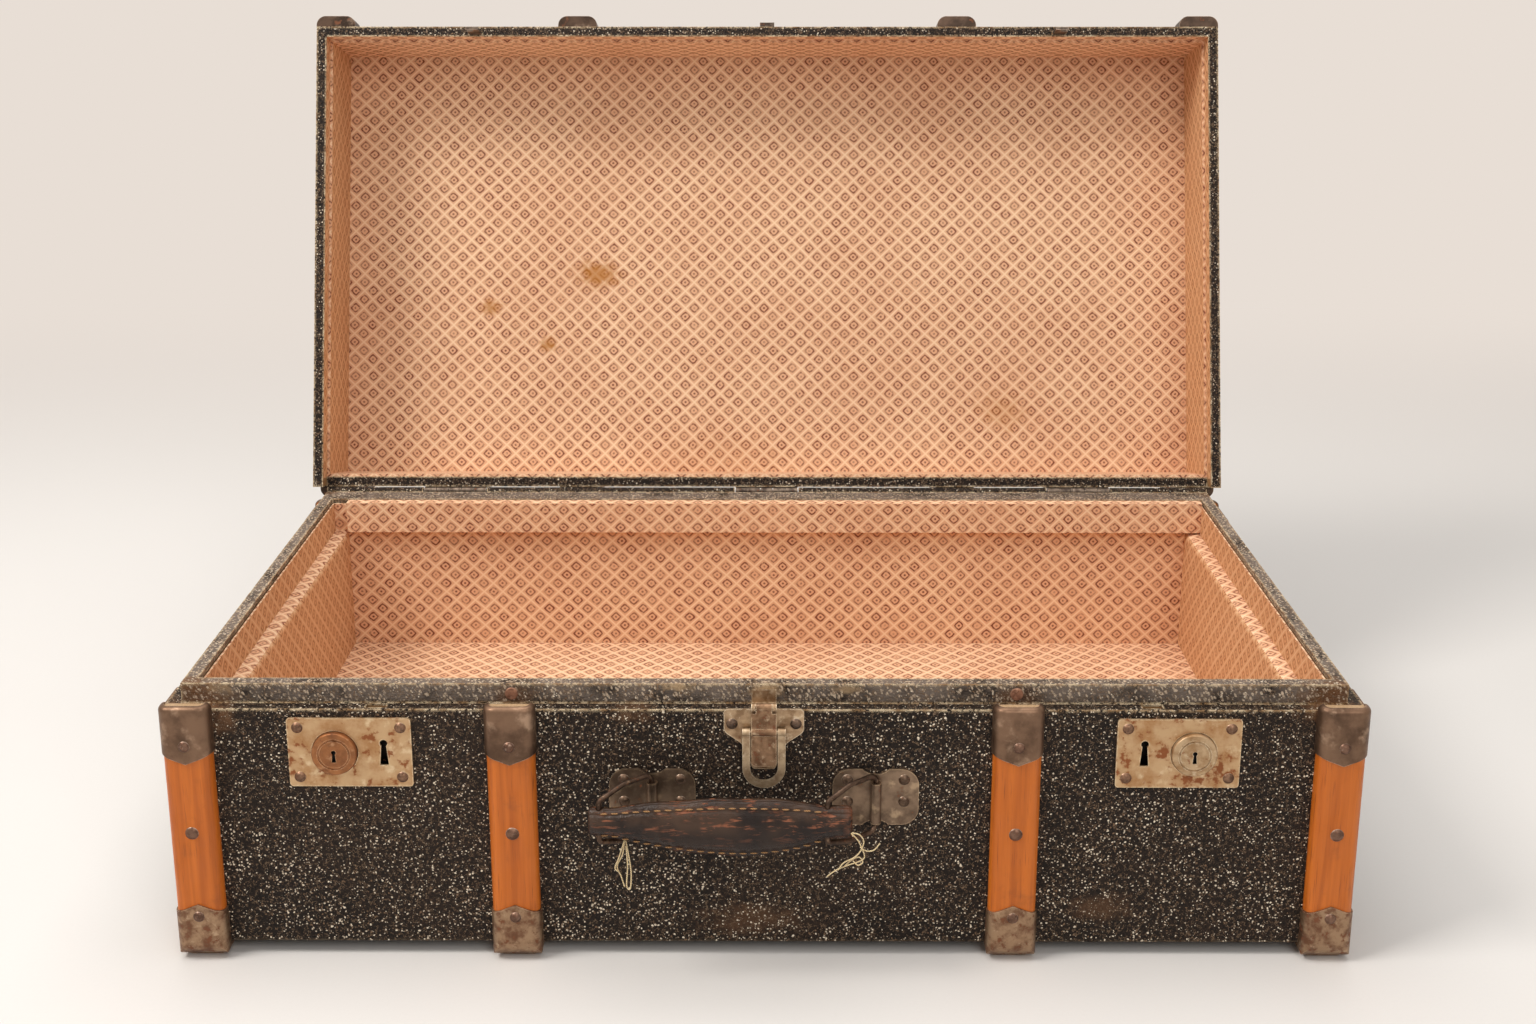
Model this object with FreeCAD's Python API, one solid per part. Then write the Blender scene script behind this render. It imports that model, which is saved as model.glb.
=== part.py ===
import FreeCAD, Part
import math
import os

# Vintage cabin trunk with its lid open: every piece of the case, its hinges, locks, catch and carrying handle.
# Millimetres, +Z up, the front faces -Y. Pieces are drawn with the middle of the case over the origin and saved
# with the middle of the whole open trunk over it, on the ground.

V = FreeCAD.Vector
os.makedirs("parts", exist_ok=True)

# Case sizes
case_width = 870.0
case_depth = 444.0
case_front_height = 188.0
lip_height = 15.0
lip_inset = 11.0
cover = 1.0
inner_board = 8.0
bottom_board = 6.0
floor_height = 68.0
floor_board_thickness = 4.0
bearer_width = 24.0
bearer_side_x = 270.0
card = 1.5
card_groove = 2.0
card_groove_depth = 8.0
card_below_rim = 4.0
rail_thickness = 10.0
rail_height = 29.0
rail_left_gap = 14.0
tray_ledge_drop = 31.0
tray_ledge_thickness = 12.5
tray_ledge_round = 5.0

# Lid sizes, measured with the lid shut
lid_angle = 106.0
lid_clearance = 1.5
lid_back_clearance = 0.8
lid_inside_depth = 90.0
lid_wood = 7.5
lid_board = 6.0
lid_lining_thin = 1.0
lid_lining_thick = 3.5
lid_rebate = 15.0

# Wooden slats and their metal caps
slat_width = 35.0
slat_thickness = 10.0
slat_round = 7.5
slat_inner_x = 183.5
slat_proud_of_seam = 4.5
cap_sheet = 1.2
cap_side_length = 33.0
cap_point = 7.0
cap_roll = 3.0
shut_lid_relief = 0.3
foot_round = 6.0
lower_cap_side_length = 36.0
under_cap_length = 42.0
wing_length = 44.0
wing_height = 36.0
wing_round = 9.0
lid_back_wing_height = 26.0
lid_slat_above_seam = 7.0
lid_back_slat_above_rim = 20.0
rivet_diameter = 10.0
cap_rivet_diameter = 8.5
rivet_head_height = 2.4
rivet_shank_diameter = 4.0
rivet_shank_length = 6.0
rivet_clearance = 0.1
stud_diameter = 9.5
stud_proud = 1.1
stud_height = 7.5

# Hinges
hinge_offset = 4.0
hinge_barrel = 3.5
hinge_pin_radius = 1.6
pin_clearance = 0.05
hinge_leaf = 1.5
hinge_leaf_width = 60.0
hinge_leaf_height = 38.0
hinge_knuckles = 5
knuckle_gap = 0.8
knuckle_stand_off = 0.4
leaf_relief = 1.0
welt_radius = 3.4
welt_tail = 8.0
hinge_screw_row = 24.0
hinge_screw_pitch = 40.0
screw_diameter = 8.0

# Locks
lock_plate_width = 90.0
lock_plate_height = 54.0
lock_plate_thickness = 1.6
lock_plate_round = 2.5
lock_drop = 33.4
lock_button_offset = 11.0
lock_keyhole_offset = 24.7
lock_screw_x = 37.3
lock_screw_z = 19.5
lock_case_width = 66.0
lock_case_height = 46.0
lock_case_depth = 9.5
lock_case_sheet = 1.0
mortise_clearance = 0.5
button_radius = 16.5
button_clearance = 0.4
button_proud = 4.0
button_flange = 1.6
button_flange_thickness = 1.2
button_stem_radius = 4.0
button_stem_length = 3.4
button_travel = 2.5
button_groove_radius = 12.0
button_groove_width = 1.4
button_groove_depth = 0.8
button_edge_round = 1.5
spring_inner_radius = 5.0
spring_outer_radius = 7.0
keyhole_radius = 2.8
keyhole_neck = 3.2
keyhole_foot = 6.4
keyhole_length = 20.0
small_keyhole_radius = 1.7
small_keyhole_neck = 1.6
small_keyhole_foot = 3.2
small_keyhole_length = 9.5
small_keyhole_depth = 3.0
bolt_throw = 6.0
bolt_height = 5.5
bolt_thickness = 2.8
bolt_length = 40.0
bolt_drop = 16.5
staple_width = 12.0
staple_thickness = 2.6
staple_inset = 5.2
staple_length = 22.0
staple_reach = 22.5
staple_notch_clearance = 0.6
staple_slot_clearance = 1.2
staple_swing_clearance = 2.0
sliding_gap = 0.3

# Drawbolt catch in the middle of the front
catch_wing_half = 29.0
catch_wing_top = 1.2
catch_wing_height = 17.8
catch_neck_half = 16.0
catch_corner = 3.0
catch_lobe = 6.0
catch_flank = 9.0
catch_neck_drop = 26.0
catch_foot_drop = 46.0
catch_foot_half = 8.0
catch_plate_thickness = 1.5
catch_rivet_x = 23.1
catch_rivet_drop = 10.3
strap_half = 9.0
strap_thickness = 0.9
strap_height = 11.0
lever_half = 9.1
lever_thickness = 1.8
lever_end_drop = 41.7
lever_axis_rise = 3.5
lever_axis_out = 3.8
lever_plane_out = 5.4
lever_barrel = 3.0
lever_pin_radius = 1.4
lever_ear = 3.0
lever_relief = 0.7
bail_outer_half = 15.6
bail_bar = 5.6
bail_thickness = 2.2
bail_pivot_drop = 15.0
bail_end_drop = 58.6
bail_eye = 2.9
bail_pin_radius = 1.3
keeper_half = 15.0
keeper_bottom = 20.0
keeper_height = 20.0
keeper_sheet = 1.5
keeper_hook_half = 7.0
keeper_hook_reach = 7.0
keeper_hook_height = 8.0

# Carrying handle
handle_x = 81.5
handle_drop = 71.0
handle_plate_half_width = 31.5
handle_plate_half_height = 22.3
handle_plate_corner = 13.0
handle_plate_dip = 4.0
handle_plate_dip_radius = 14.0
handle_plate_thickness = 1.5
handle_plate_lift = 2.5
handle_barrel_radius = 4.0
handle_barrel_out = 4.7
handle_barrel_length = 32.0
handle_rivet_x = 20.7
handle_rivet_top = 16.5
handle_rivet_pitch = 17.5
ring_wire = 2.0
ring_bar_half = 22.4
ring_reach = 46.0
ring_end_half = 16.0
ring_straight = 25.0
ring_corner = 6.0
ring_shoulder_radius = 8.0
ring_end_corner = 4.0
ring_clearance = 0.4
ring_rest_angle = 38.5
grip_left_over = 7.5
grip_right_over = 17.5
grip_left_height = 21.0
grip_right_height = 24.0
grip_middle_height = 44.0
grip_end_thickness = 15.0
grip_middle_thickness = 19.0
grip_sag = 4.0
grip_slim_left = 6.0
grip_slim_right = 2.0
grip_skew_power = 1.4
grip_fullness_power = 0.65
grip_end_taper_share = 0.86
grip_stations = 12

# One overrun past a face serves every cut
over = 1.0

# Levels and planes worked out from the sizes above
half_w = case_width / 2
half_d = case_depth / 2
case_bottom = slat_thickness + cap_sheet
seam = case_bottom + case_front_height
rim = seam + lip_height
board_in = lip_inset + cover
wall_in = board_in + inner_board
card_in = wall_in + card_groove + card
lid_rim = seam + lid_clearance
lid_back_rim = rim + lid_back_clearance
lid_in = cover + lid_wood
lid_ceiling = lid_rim + lid_inside_depth
lid_top = lid_ceiling + card + lid_board + cover
hinge_y = half_d + hinge_offset
slat_corner_x = half_w - slat_width / 2
slat_xs = (-slat_corner_x, -slat_inner_x, slat_inner_x, slat_corner_x)
between_slats_x = (slat_inner_x + slat_corner_x) / 2
hinge_xs = (-between_slats_x, 0.0, between_slats_x)
floor_under = case_bottom + cover + bottom_board
front = -half_d
grip_shift = ring_reach * math.cos(math.radians(ring_rest_angle))
grip_y = front - handle_barrel_out - ring_reach * math.sin(math.radians(ring_rest_angle))
open_turn = math.radians(lid_angle)
corner_bend = foot_round + slat_thickness + cap_sheet
reach_back = (hinge_y + (front + foot_round - hinge_y) * math.cos(open_turn)
              + (lid_top - foot_round - rim) * math.sin(open_turn) + corner_bend)
reach_front = grip_y - grip_middle_thickness / 2
middle_y = (reach_back + reach_front) / 2


def box(x0, x1, y0, y1, z0, z1):
    return Part.makeBox(x1 - x0, y1 - y0, z1 - z0, V(x0, y0, z0))


def inset_box(inset, z0, z1):
    return box(inset - half_w, half_w - inset, inset - half_d, half_d - inset, z0, z1)


def cylinder(radius, height, base, axis):
    return Part.makeCylinder(radius, height, base, axis)


def joined(shapes):
    result = shapes[0]
    if len(shapes) > 1:
        result = result.fuse(shapes[1:])
    return result.removeSplitter()


def minus(shape, *tools):
    return shape.cut(Part.makeCompound(list(tools))).removeSplitter()


def moved(shape, x, y, z):
    copy = shape.copy()
    copy.translate(V(x, y, z))
    return copy


def turned(shape, axis, degrees, centre=V(0, 0, 0)):
    copy = shape.copy()
    copy.rotate(centre, axis, degrees)
    return copy


def mirrored_x(shape):
    return shape.mirror(V(0, 0, 0), V(1, 0, 0))


def mirrored_y(shape):
    return shape.mirror(V(0, 0, 0), V(0, 1, 0))


def both_sides(shape):
    return [shape, mirrored_x(shape)]


def both_faces(shapes):
    return shapes + [mirrored_y(shape) for shape in shapes]


def opened(shape):
    """Swings a piece of the shut lid back about the hinge axis to where the photographed lid stands."""
    return turned(shape, V(1, 0, 0), -lid_angle, V(0, hinge_y, rim))


def opened_back(shape):
    """Opens the mirror image, on the lid's back wall, of a piece of its front wall."""
    return opened(mirrored_y(shape))


def save(name, shapes):
    """Writes one node: a solid, or a group of separate solids."""
    shapes = shapes if isinstance(shapes, list) else [shapes]
    solids = [moved(solid, 0, -middle_y, 0) for shape in shapes for solid in shape.Solids]
    node = solids[0] if len(solids) == 1 else Part.makeCompound(solids)
    node.exportStep(os.path.join("parts", name + ".step"))
    flaws = "" if all(solid.isValid() for solid in solids) else " NOT VALID"
    print(name, len(solids), round(sum(solid.Volume for solid in solids)), flaws)


def outline(points):
    """A flat face from points, with round stretches given as (through, end) pairs after a start."""
    edges = []
    start = points[0]
    for step in points[1:]:
        if isinstance(step, tuple):
            edges.append(Part.Arc(start, step[0], step[1]).toShape())
            start = step[1]
        else:
            edges.append(Part.LineSegment(start, step).toShape())
            start = step
    edges.append(Part.LineSegment(start, points[0]).toShape())
    return Part.Face(Part.Wire(edges))


def slat_bar(length, grow):
    """A slat along +Z with its flat back on the plane y = 0 and its crown to -Y, grown all round by a sheet."""
    half = slat_width / 2 + grow
    thick = slat_thickness + grow
    radius = slat_round + grow
    bend = radius * (1 - math.sqrt(1 / 2))
    face = outline([
        V(half, 0, 0),
        V(half, radius - thick, 0),
        (V(half - bend, bend - thick, 0), V(half - radius, -thick, 0)),
        V(radius - half, -thick, 0),
        (V(bend - half, bend - thick, 0), V(-half, radius - thick, 0)),
        V(-half, 0, 0),
    ])
    return face.extrude(V(0, 0, length))


def front_bar(x, z0, z1, grow=0.0):
    return moved(slat_bar(z1 - z0, grow), x, front, z0)


def under_bar(x, y0, y1, grow=0.0):
    """A bar along Y under the case, its crown down."""
    return moved(turned(slat_bar(y1 - y0, grow), V(1, 0, 0), 90.0), x, y1, case_bottom)


def top_bar(x, y0, y1, grow=0.0):
    """A bar along Y on top of the lid, its crown up."""
    return moved(turned(slat_bar(y1 - y0, grow), V(1, 0, 0), -90.0), x, y0, lid_top)


def bent_slat(x, level, sign, bar, z_end, grow=0.0):
    """A slat on the front face, bent round the edge at the given level and ending just past the bend."""
    thick = slat_thickness + grow
    radius = foot_round + thick
    upright = front_bar(x, *sorted((level - sign * thick, z_end)), grow)
    flat = bar(x, front - thick, front + foot_round, grow)
    outside = box(x - slat_width, x + slat_width, front - radius, front,
                  *sorted((level - sign * radius, level)))
    square = box(x - slat_width, x + slat_width, front - radius, front + foot_round,
                 *sorted((level - sign * radius, level + sign * foot_round)))
    bend = cylinder(radius, 2 * slat_width, V(x - slat_width, front + foot_round, level + sign * foot_round),
                    V(1, 0, 0))
    whole = joined([upright.cut(outside), flat.cut(outside), upright.common(flat)])
    return whole.cut(square.cut(bend)).removeSplitter()


def pointed_region(x, z_side, z_tip, z_far):
    """The part of space in front of and behind a slat that its cap covers, with a pointed edge at the tip."""
    half = slat_width
    face = outline([V(x - half, 0, z_far), V(x + half, 0, z_far), V(x + half, 0, z_side),
                    V(x + slat_width / 2, 0, z_side), V(x, 0, z_tip), V(x - slat_width / 2, 0, z_side),
                    V(x - half, 0, z_side)])
    return moved(face, 0, front - half, 0).extrude(V(0, 2 * half, 0))


def is_corner(x):
    return abs(x) > slat_inner_x


def side_wing(x, z0, z1):
    """The leaf that a corner cap carries round onto the side of the case, its free corners rounded."""
    side = math.copysign(half_w, x)
    x0, x1 = sorted((side, side + math.copysign(cap_sheet, x)))
    plate = box(x0, x1, front, front + wing_length, z0, z1)
    ends = [edge for edge in plate.Edges
            if edge.BoundBox.YMin > front + wing_length / 2 and edge.BoundBox.XLength > 0
            and edge.BoundBox.YLength < over / 2 and edge.BoundBox.ZLength < over / 2]
    return plate.makeFillet(wing_round, ends)


def wing_link(x, z0, z1):
    """Joins a corner cap to its leaf where the slat's own side is rounded away."""
    side = math.copysign(half_w, x)
    x0, x1 = sorted((side, side + math.copysign(cap_sheet, x)))
    return box(x0, x1, front - slat_thickness + slat_round, front, z0, z1)


def rolled_top(shape, top, radius):
    """Rounds the edges round an upright bar's top, but for the one against the case."""
    edges = [edge for edge in shape.Edges
             if edge.BoundBox.ZMin > top - over / 2 and edge.BoundBox.YMin < front - over]
    return shape.makeFillet(radius, edges)


def clear_of_lid(x, shape):
    """Eases what stands above the seam off the face of the shut lid."""
    return shape.cut(box(x - slat_width, x + slat_width, front - shut_lid_relief, front + over, seam,
                         seam + slat_width))


def upper_cap(x, top):
    """The cap at a slat's top: rolled in round the edge, with the end grain left bare inside it."""
    z_side = seam - cap_side_length + cap_sheet
    z_tip = z_side - cap_point
    region = pointed_region(x, z_side, z_tip, top + slat_width)
    outer = rolled_top(front_bar(x, z_tip, top + cap_sheet, cap_sheet), top + cap_sheet, cap_roll + cap_sheet)
    inner = rolled_top(front_bar(x, z_tip - over, top), top, cap_roll)
    mouth = front_bar(x, top - over, top + cap_sheet + over, -cap_roll)
    cap = minus(outer, inner, mouth).common(region).removeSplitter()
    if is_corner(x):
        cap = joined([cap, side_wing(x, seam - wing_height, seam),
                      wing_link(x, seam - cap_side_length, seam)])
    return clear_of_lid(x, cap)


def base_slat(x, top):
    return clear_of_lid(x, rolled_top(bent_slat(x, case_bottom, 1, under_bar, top), top, cap_roll))


def edge_cap(x, level, sign, bar, block, side_length, under_length):
    """A cap bent round the edge of the case with its slat: pointed up the face, square along the flat side."""
    z_side = level + sign * side_length
    z_tip = z_side + sign * cap_point
    outer = joined([bent_slat(x, level, sign, bar, z_tip, cap_sheet),
                    bar(x, front, front + under_length, cap_sheet)])
    inner = joined([bent_slat(x, level, sign, bar, z_tip + sign * over),
                    bar(x, front, front + under_length + over)])
    region = pointed_region(x, z_side, z_tip, level - sign * slat_width)
    cap = minus(outer, inner, block).common(region)
    if is_corner(x):
        near, far = sorted((level, level + sign * wing_height))
        cap = joined([cap, side_wing(x, near, far), wing_link(x, *sorted((level, z_side)))])
    return cap.removeSplitter()


def domed_rivet(diameter, base, direction):
    """A rivet or round-head screw: a low domed head standing on its base, and a shank going the other way."""
    radius = diameter / 2
    ball_radius = (radius ** 2 + rivet_head_height ** 2) / (2 * rivet_head_height)
    top = base + direction * rivet_head_height
    ball = Part.makeSphere(ball_radius, top - direction * ball_radius)
    head = ball.common(cylinder(diameter, 2 * rivet_head_height, base, direction))
    shank = cylinder(rivet_shank_diameter / 2, rivet_shank_length, base, -direction)
    return joined([head, shank])


def rivet_hole(diameter, base, direction):
    return cylinder(rivet_shank_diameter / 2 + rivet_clearance, over + rivet_shank_length + rivet_clearance,
                    base + direction * over, -direction)


def drilled(shape, places):
    """Cuts the shank hole of each fastener given as (head diameter, base, direction)."""
    return minus(shape, *[rivet_hole(*place) for place in places])


def front_place(x, z, diameter, out):
    return diameter, V(x, front - out, z), V(0, -1, 0)


def lock_screw_places(side):
    x, z = lock_centre(side)
    return [front_place(x + dx, z + dz, cap_rivet_diameter, lock_plate_thickness)
            for dx in (-lock_screw_x, lock_screw_x) for dz in (-lock_screw_z, lock_screw_z)]


def catch_rivet_places():
    return [front_place(x, seam - catch_rivet_drop, cap_rivet_diameter, catch_plate_thickness)
            for x in (-catch_rivet_x, catch_rivet_x)]


def handle_rivet_places(x):
    z = seam - handle_drop
    return [front_place(x + dx, z + dz, cap_rivet_diameter, handle_plate_thickness)
            for dx in (-handle_rivet_x, handle_rivet_x)
            for dz in (handle_rivet_top, handle_rivet_top - handle_rivet_pitch)]


def hinge_screw_places(x, rise):
    return [(screw_diameter, V(x + dx, half_d + hinge_leaf, rim + rise), V(0, 1, 0))
            for dx in (-hinge_screw_pitch / 2, hinge_screw_pitch / 2)]


def front_places():
    places = catch_rivet_places()
    for side in (-1, 1):
        places += lock_screw_places(side) + handle_rivet_places(side * handle_x)
    return places


def back_places(rise):
    return [place for x in hinge_xs for place in hinge_screw_places(x, rise)]


def slat_places(x):
    """Base: a rivet through each cap and one through the middle of the slat."""
    crown = slat_thickness + cap_sheet
    return [front_place(x, seam - case_front_height / 2, rivet_diameter, slat_thickness),
            front_place(x, seam - cap_side_length + cap_rivet_diameter, cap_rivet_diameter, crown),
            front_place(x, case_bottom + lower_cap_side_length - cap_rivet_diameter - cap_sheet,
                        cap_rivet_diameter, crown)]


def lid_side_places(x, z_end):
    crown = slat_thickness + cap_sheet
    upper_z = lid_top - cap_side_length + cap_rivet_diameter + cap_sheet
    return [front_place(x, z_end + cap_side_length / 2, cap_rivet_diameter, crown),
            front_place(x, upper_z, cap_rivet_diameter, crown)]


def lid_top_places(x):
    cap_y = half_d - under_cap_length + cap_rivet_diameter
    crown = lid_top + slat_thickness + cap_sheet
    return [(cap_rivet_diameter, V(x, -cap_y, crown), V(0, 0, 1)),
            (cap_rivet_diameter, V(x, cap_y, crown), V(0, 0, 1)),
            (rivet_diameter, V(x, 0, lid_top + slat_thickness), V(0, 0, 1))]


def base_walls():
    """The plywood box: bottom, four outer walls up to the seam, and inner boards that stand up as the lip."""
    z0 = case_bottom + cover
    z1 = seam - cover
    top = rim - cover
    bottom = inset_box(cover, z0, floor_under)
    x0, x1 = cover, board_in
    front_wall = drilled(minus(box(x0 - half_w, half_w - x0, front + x0, front + x1, floor_under, z1),
                               *[lock_pocket(side) for side in (-1, 1)]), front_places())
    back_wall = box(x0 - half_w, half_w - x0, half_d - x1, half_d - x0, floor_under, z1)
    back_top = box(board_in - half_w, half_w - board_in, half_d - x1, half_d - x0, z1, top)
    side = box(x0 - half_w, x1 - half_w, front + x1, half_d - x1, floor_under, z1)
    long_board = box(board_in - half_w, half_w - board_in, front + board_in, front + wall_in, floor_under, top)
    short_board = box(board_in - half_w, wall_in - half_w, front + wall_in, half_d - wall_in, floor_under, top)
    save("base_bottom_board", bottom)
    save("base_front_wall", front_wall)
    save("base_back_wall", drilled(joined([back_wall, back_top]), back_places(-hinge_screw_row)))
    save("base_side_walls", both_sides(side))
    save("base_inner_boards", [long_board, mirrored_y(long_board)] + both_sides(short_board))


def lock_centre(side):
    return side * between_slats_x, seam - lock_drop


def lock_pocket(side):
    """The mortise for a lock case, with the slot above it that the lid's staple drops through."""
    x, z = lock_centre(side)
    half = lock_case_width / 2 + mortise_clearance
    high = lock_case_height / 2 + mortise_clearance
    pocket = box(x - half, x + half, front - over, front + lock_case_depth + mortise_clearance, z - high,
                 z + high)
    return pocket.fuse(staple_slot(side))


def staple_x(side):
    """The staple drops between the button and the keyhole."""
    return side * (between_slats_x + lock_button_offset - button_radius - button_flange - staple_width)


def staple_slot(side):
    x = staple_x(side)
    half = staple_width / 2 + staple_slot_clearance
    return box(x - half, x + half, front + staple_inset - staple_swing_clearance,
               front + lock_case_depth - lock_case_sheet, seam - lock_drop, seam + over)


def base_covering():
    """One skin of leathercloth over the bottom, the walls, the ledge and the lip, turned in at the rim."""
    outside = inset_box(0, case_bottom, seam).fuse(inset_box(lip_inset, seam, rim))
    outside = outside.fuse(box(lip_inset - half_w, half_w - lip_inset, 0, half_d, seam, rim))
    inside = inset_box(cover, case_bottom + cover, seam - cover)
    inside = inside.fuse(inset_box(board_in, case_bottom + cover, rim - cover))
    inside = inside.fuse(box(board_in - half_w, half_w - board_in, 0, half_d - cover, case_bottom + cover,
                             rim - cover))
    mouth = inset_box(wall_in + cover, case_bottom + cover, rim + over)
    below = inset_box(wall_in - over, case_bottom + cover, rim - card_below_rim)
    turned_in = inset_box(wall_in, rim - card_below_rim, rim)
    shell = outside.cut(inside).fuse(turned_in)
    shell = minus(shell, mouth, below)
    shell = minus(shell, *[lock_pocket(side) for side in (-1, 1)])
    return drilled(shell, front_places() + back_places(-hinge_screw_row))


def base_lining():
    """Card covered with printed paper inside the walls, and the floor board on its bearers."""
    top = rim - card_below_rim
    wall = inset_box(wall_in, floor_under, top).cut(inset_box(card_in, floor_under - over, top + over))
    groove = inset_box(wall_in, top - card_groove_depth, top + over)
    groove = groove.cut(inset_box(wall_in + card_groove, top - card_groove_depth, top + over))
    save("base_wall_lining", minus(wall, groove))
    board = inset_box(card_in, floor_height - floor_board_thickness, floor_height)
    save("floor_board", board)
    bearers = []
    for place in (-1, 0, 1):
        x = place * bearer_side_x
        bearers.append(box(x - bearer_width / 2, x + bearer_width / 2, card_in - half_d, half_d - card_in,
                           floor_under, floor_height - floor_board_thickness))
    save("floor_bearers", bearers)
    rail = box(card_in + rail_left_gap - half_w, half_w - card_in, half_d - card_in - rail_thickness,
               half_d - card_in, rim - rail_height, rim)
    save("hinge_rail", rail)
    ledge = box(card_in - half_w, card_in + tray_ledge_thickness - half_w, card_in - half_d,
                half_d - card_in, floor_height, rim - tray_ledge_drop)
    inner_top = [edge for edge in ledge.Edges if edge.BoundBox.ZMin > rim - tray_ledge_drop - over
                 and edge.BoundBox.XMin > card_in + tray_ledge_thickness - half_w - over]
    ledge = ledge.makeFillet(tray_ledge_round, inner_top)
    save("tray_ledge_left", ledge)
    save("tray_ledge_right", mirrored_x(ledge))


def base_slats_and_caps():
    top = seam + slat_proud_of_seam
    slats = [drilled(base_slat(x, top), slat_places(x)) for x in slat_xs]
    upper = [drilled(upper_cap(x, top), slat_places(x)) for x in slat_xs]
    lower = [drilled(edge_cap(x, case_bottom, 1, under_bar, case_block(),
                              lower_cap_side_length - cap_point, under_cap_length), slat_places(x))
             for x in slat_xs]
    rivets = [domed_rivet(*place) for x in slat_xs for place in slat_places(x)]
    save("base_slats", both_faces(slats))
    save("bottom_runners", [under_bar(x, front + foot_round, half_d - foot_round) for x in slat_xs])
    save("base_upper_caps", both_faces(upper))
    save("base_lower_caps", both_faces(lower))
    save("base_slat_rivets", both_faces(rivets))


def case_block():
    return box(-half_w, half_w, -half_d, half_d, case_bottom, seam)


def lid_block():
    return box(-half_w, half_w, -half_d, half_d, lid_rim, lid_top)


def keyhole(x, z, y0, y1, radius, neck, foot, length):
    """A keyhole along +Y: a round bow hole over a slot that flares to its foot."""
    bottom = z + radius - length
    face = outline([V(x - neck / 2, y0, z), V(x + neck / 2, y0, z), V(x + foot / 2, y0, bottom),
                    V(x - foot / 2, y0, bottom)])
    return cylinder(radius, y1 - y0, V(x, y0, z), V(0, 1, 0)).fuse(face.extrude(V(0, y1 - y0, 0)))


def rounded_plate(x, z, width, height, thickness, radius):
    """A plate lying against the front face, its upright corners rounded."""
    plate = box(x - width / 2, x + width / 2, front - thickness, front, z - height / 2, z + height / 2)
    corners = [edge for edge in plate.Edges
               if edge.BoundBox.XLength < radius and edge.BoundBox.ZLength < radius]
    return plate.makeFillet(radius, corners)


def lock(side):
    """One lock: press the round button and the bolt slides into the lid's staple."""
    x, z = lock_centre(side)
    name = "left" if side < 0 else "right"
    button_x = x + side * lock_button_offset
    keyhole_x = x - side * lock_keyhole_offset
    hole = cylinder(button_radius + button_clearance, 2 * lock_plate_thickness,
                    V(button_x, front - 3 * lock_plate_thickness / 2, z), V(0, 1, 0))
    key_cut = keyhole(keyhole_x, z + keyhole_length / 2 - keyhole_radius, front - 2 * lock_plate_thickness,
                      front + lock_plate_thickness, keyhole_radius, keyhole_neck, keyhole_foot, keyhole_length)
    plate = rounded_plate(x, z, lock_plate_width, lock_plate_height, lock_plate_thickness, lock_plate_round)
    save("lock_plate_" + name, drilled(minus(plate, hole, key_cut), lock_screw_places(side)))

    half = lock_case_width / 2
    high = lock_case_height / 2
    back = front + lock_case_depth
    sheet = lock_case_sheet
    case = box(x - half, x + half, front, back, z - high, z + high)
    hollow = box(x - half + sheet, x + half - sheet, front - over, back - sheet, z - high + sheet,
                 z + high - sheet)
    save("lock_case_" + name, minus(case, hollow, staple_slot(side)))

    button = cylinder(button_radius, button_proud + lock_plate_thickness,
                      V(button_x, front - lock_plate_thickness - button_proud, z), V(0, 1, 0))
    rim_edges = [edge for edge in button.Edges
                 if edge.BoundBox.YMax < front - lock_plate_thickness - button_proud + over / 2]
    button = button.makeFillet(button_edge_round, rim_edges)
    flange = cylinder(button_radius + button_flange, button_flange_thickness,
                      V(button_x, front + sliding_gap, z), V(0, 1, 0))
    neck = cylinder(button_radius - button_flange, sliding_gap + button_flange_thickness,
                    V(button_x, front, z), V(0, 1, 0))
    stem = cylinder(button_stem_radius, button_stem_length, V(button_x, front + sliding_gap, z), V(0, 1, 0))
    face_y = front - lock_plate_thickness - button_proud
    groove = cylinder(button_groove_radius, button_groove_depth + over, V(button_x, face_y - over, z),
                      V(0, 1, 0))
    groove = groove.cut(cylinder(button_groove_radius - button_groove_width, button_groove_depth + 2 * over,
                                 V(button_x, face_y - over, z), V(0, 1, 0)))
    small_key = keyhole(button_x, z + small_keyhole_radius, face_y - over, face_y + small_keyhole_depth,
                        small_keyhole_radius, small_keyhole_neck, small_keyhole_foot, small_keyhole_length)
    save("lock_button_" + name, minus(joined([button, flange, neck, stem]), groove, small_key))

    bolt_tip = staple_x(side) + side * (staple_width / 2 + sliding_gap)
    bolt_z = seam - bolt_drop
    bolt = box(*sorted((bolt_tip, bolt_tip + side * bolt_length)), back - sheet - sliding_gap - bolt_thickness,
               back - sheet - sliding_gap, bolt_z - bolt_height / 2, bolt_z + bolt_height / 2)
    save("lock_bolt_" + name, bolt)


def lock_spring(side):
    """The button's spring at its pressed length, seated on the back of the lock case."""
    x, z = lock_centre(side)
    button_x = x + side * lock_button_offset
    spring_back = front + lock_case_depth - lock_case_sheet
    spring_length = spring_back - front - button_flange_thickness - button_travel - 2 * sliding_gap
    spring = cylinder(spring_outer_radius, spring_length, V(button_x, spring_back - spring_length, z),
                      V(0, 1, 0))
    bore = cylinder(spring_inner_radius, spring_length + 2 * over,
                    V(button_x, spring_back - spring_length - over, z), V(0, 1, 0))
    return spring.cut(bore)


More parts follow.
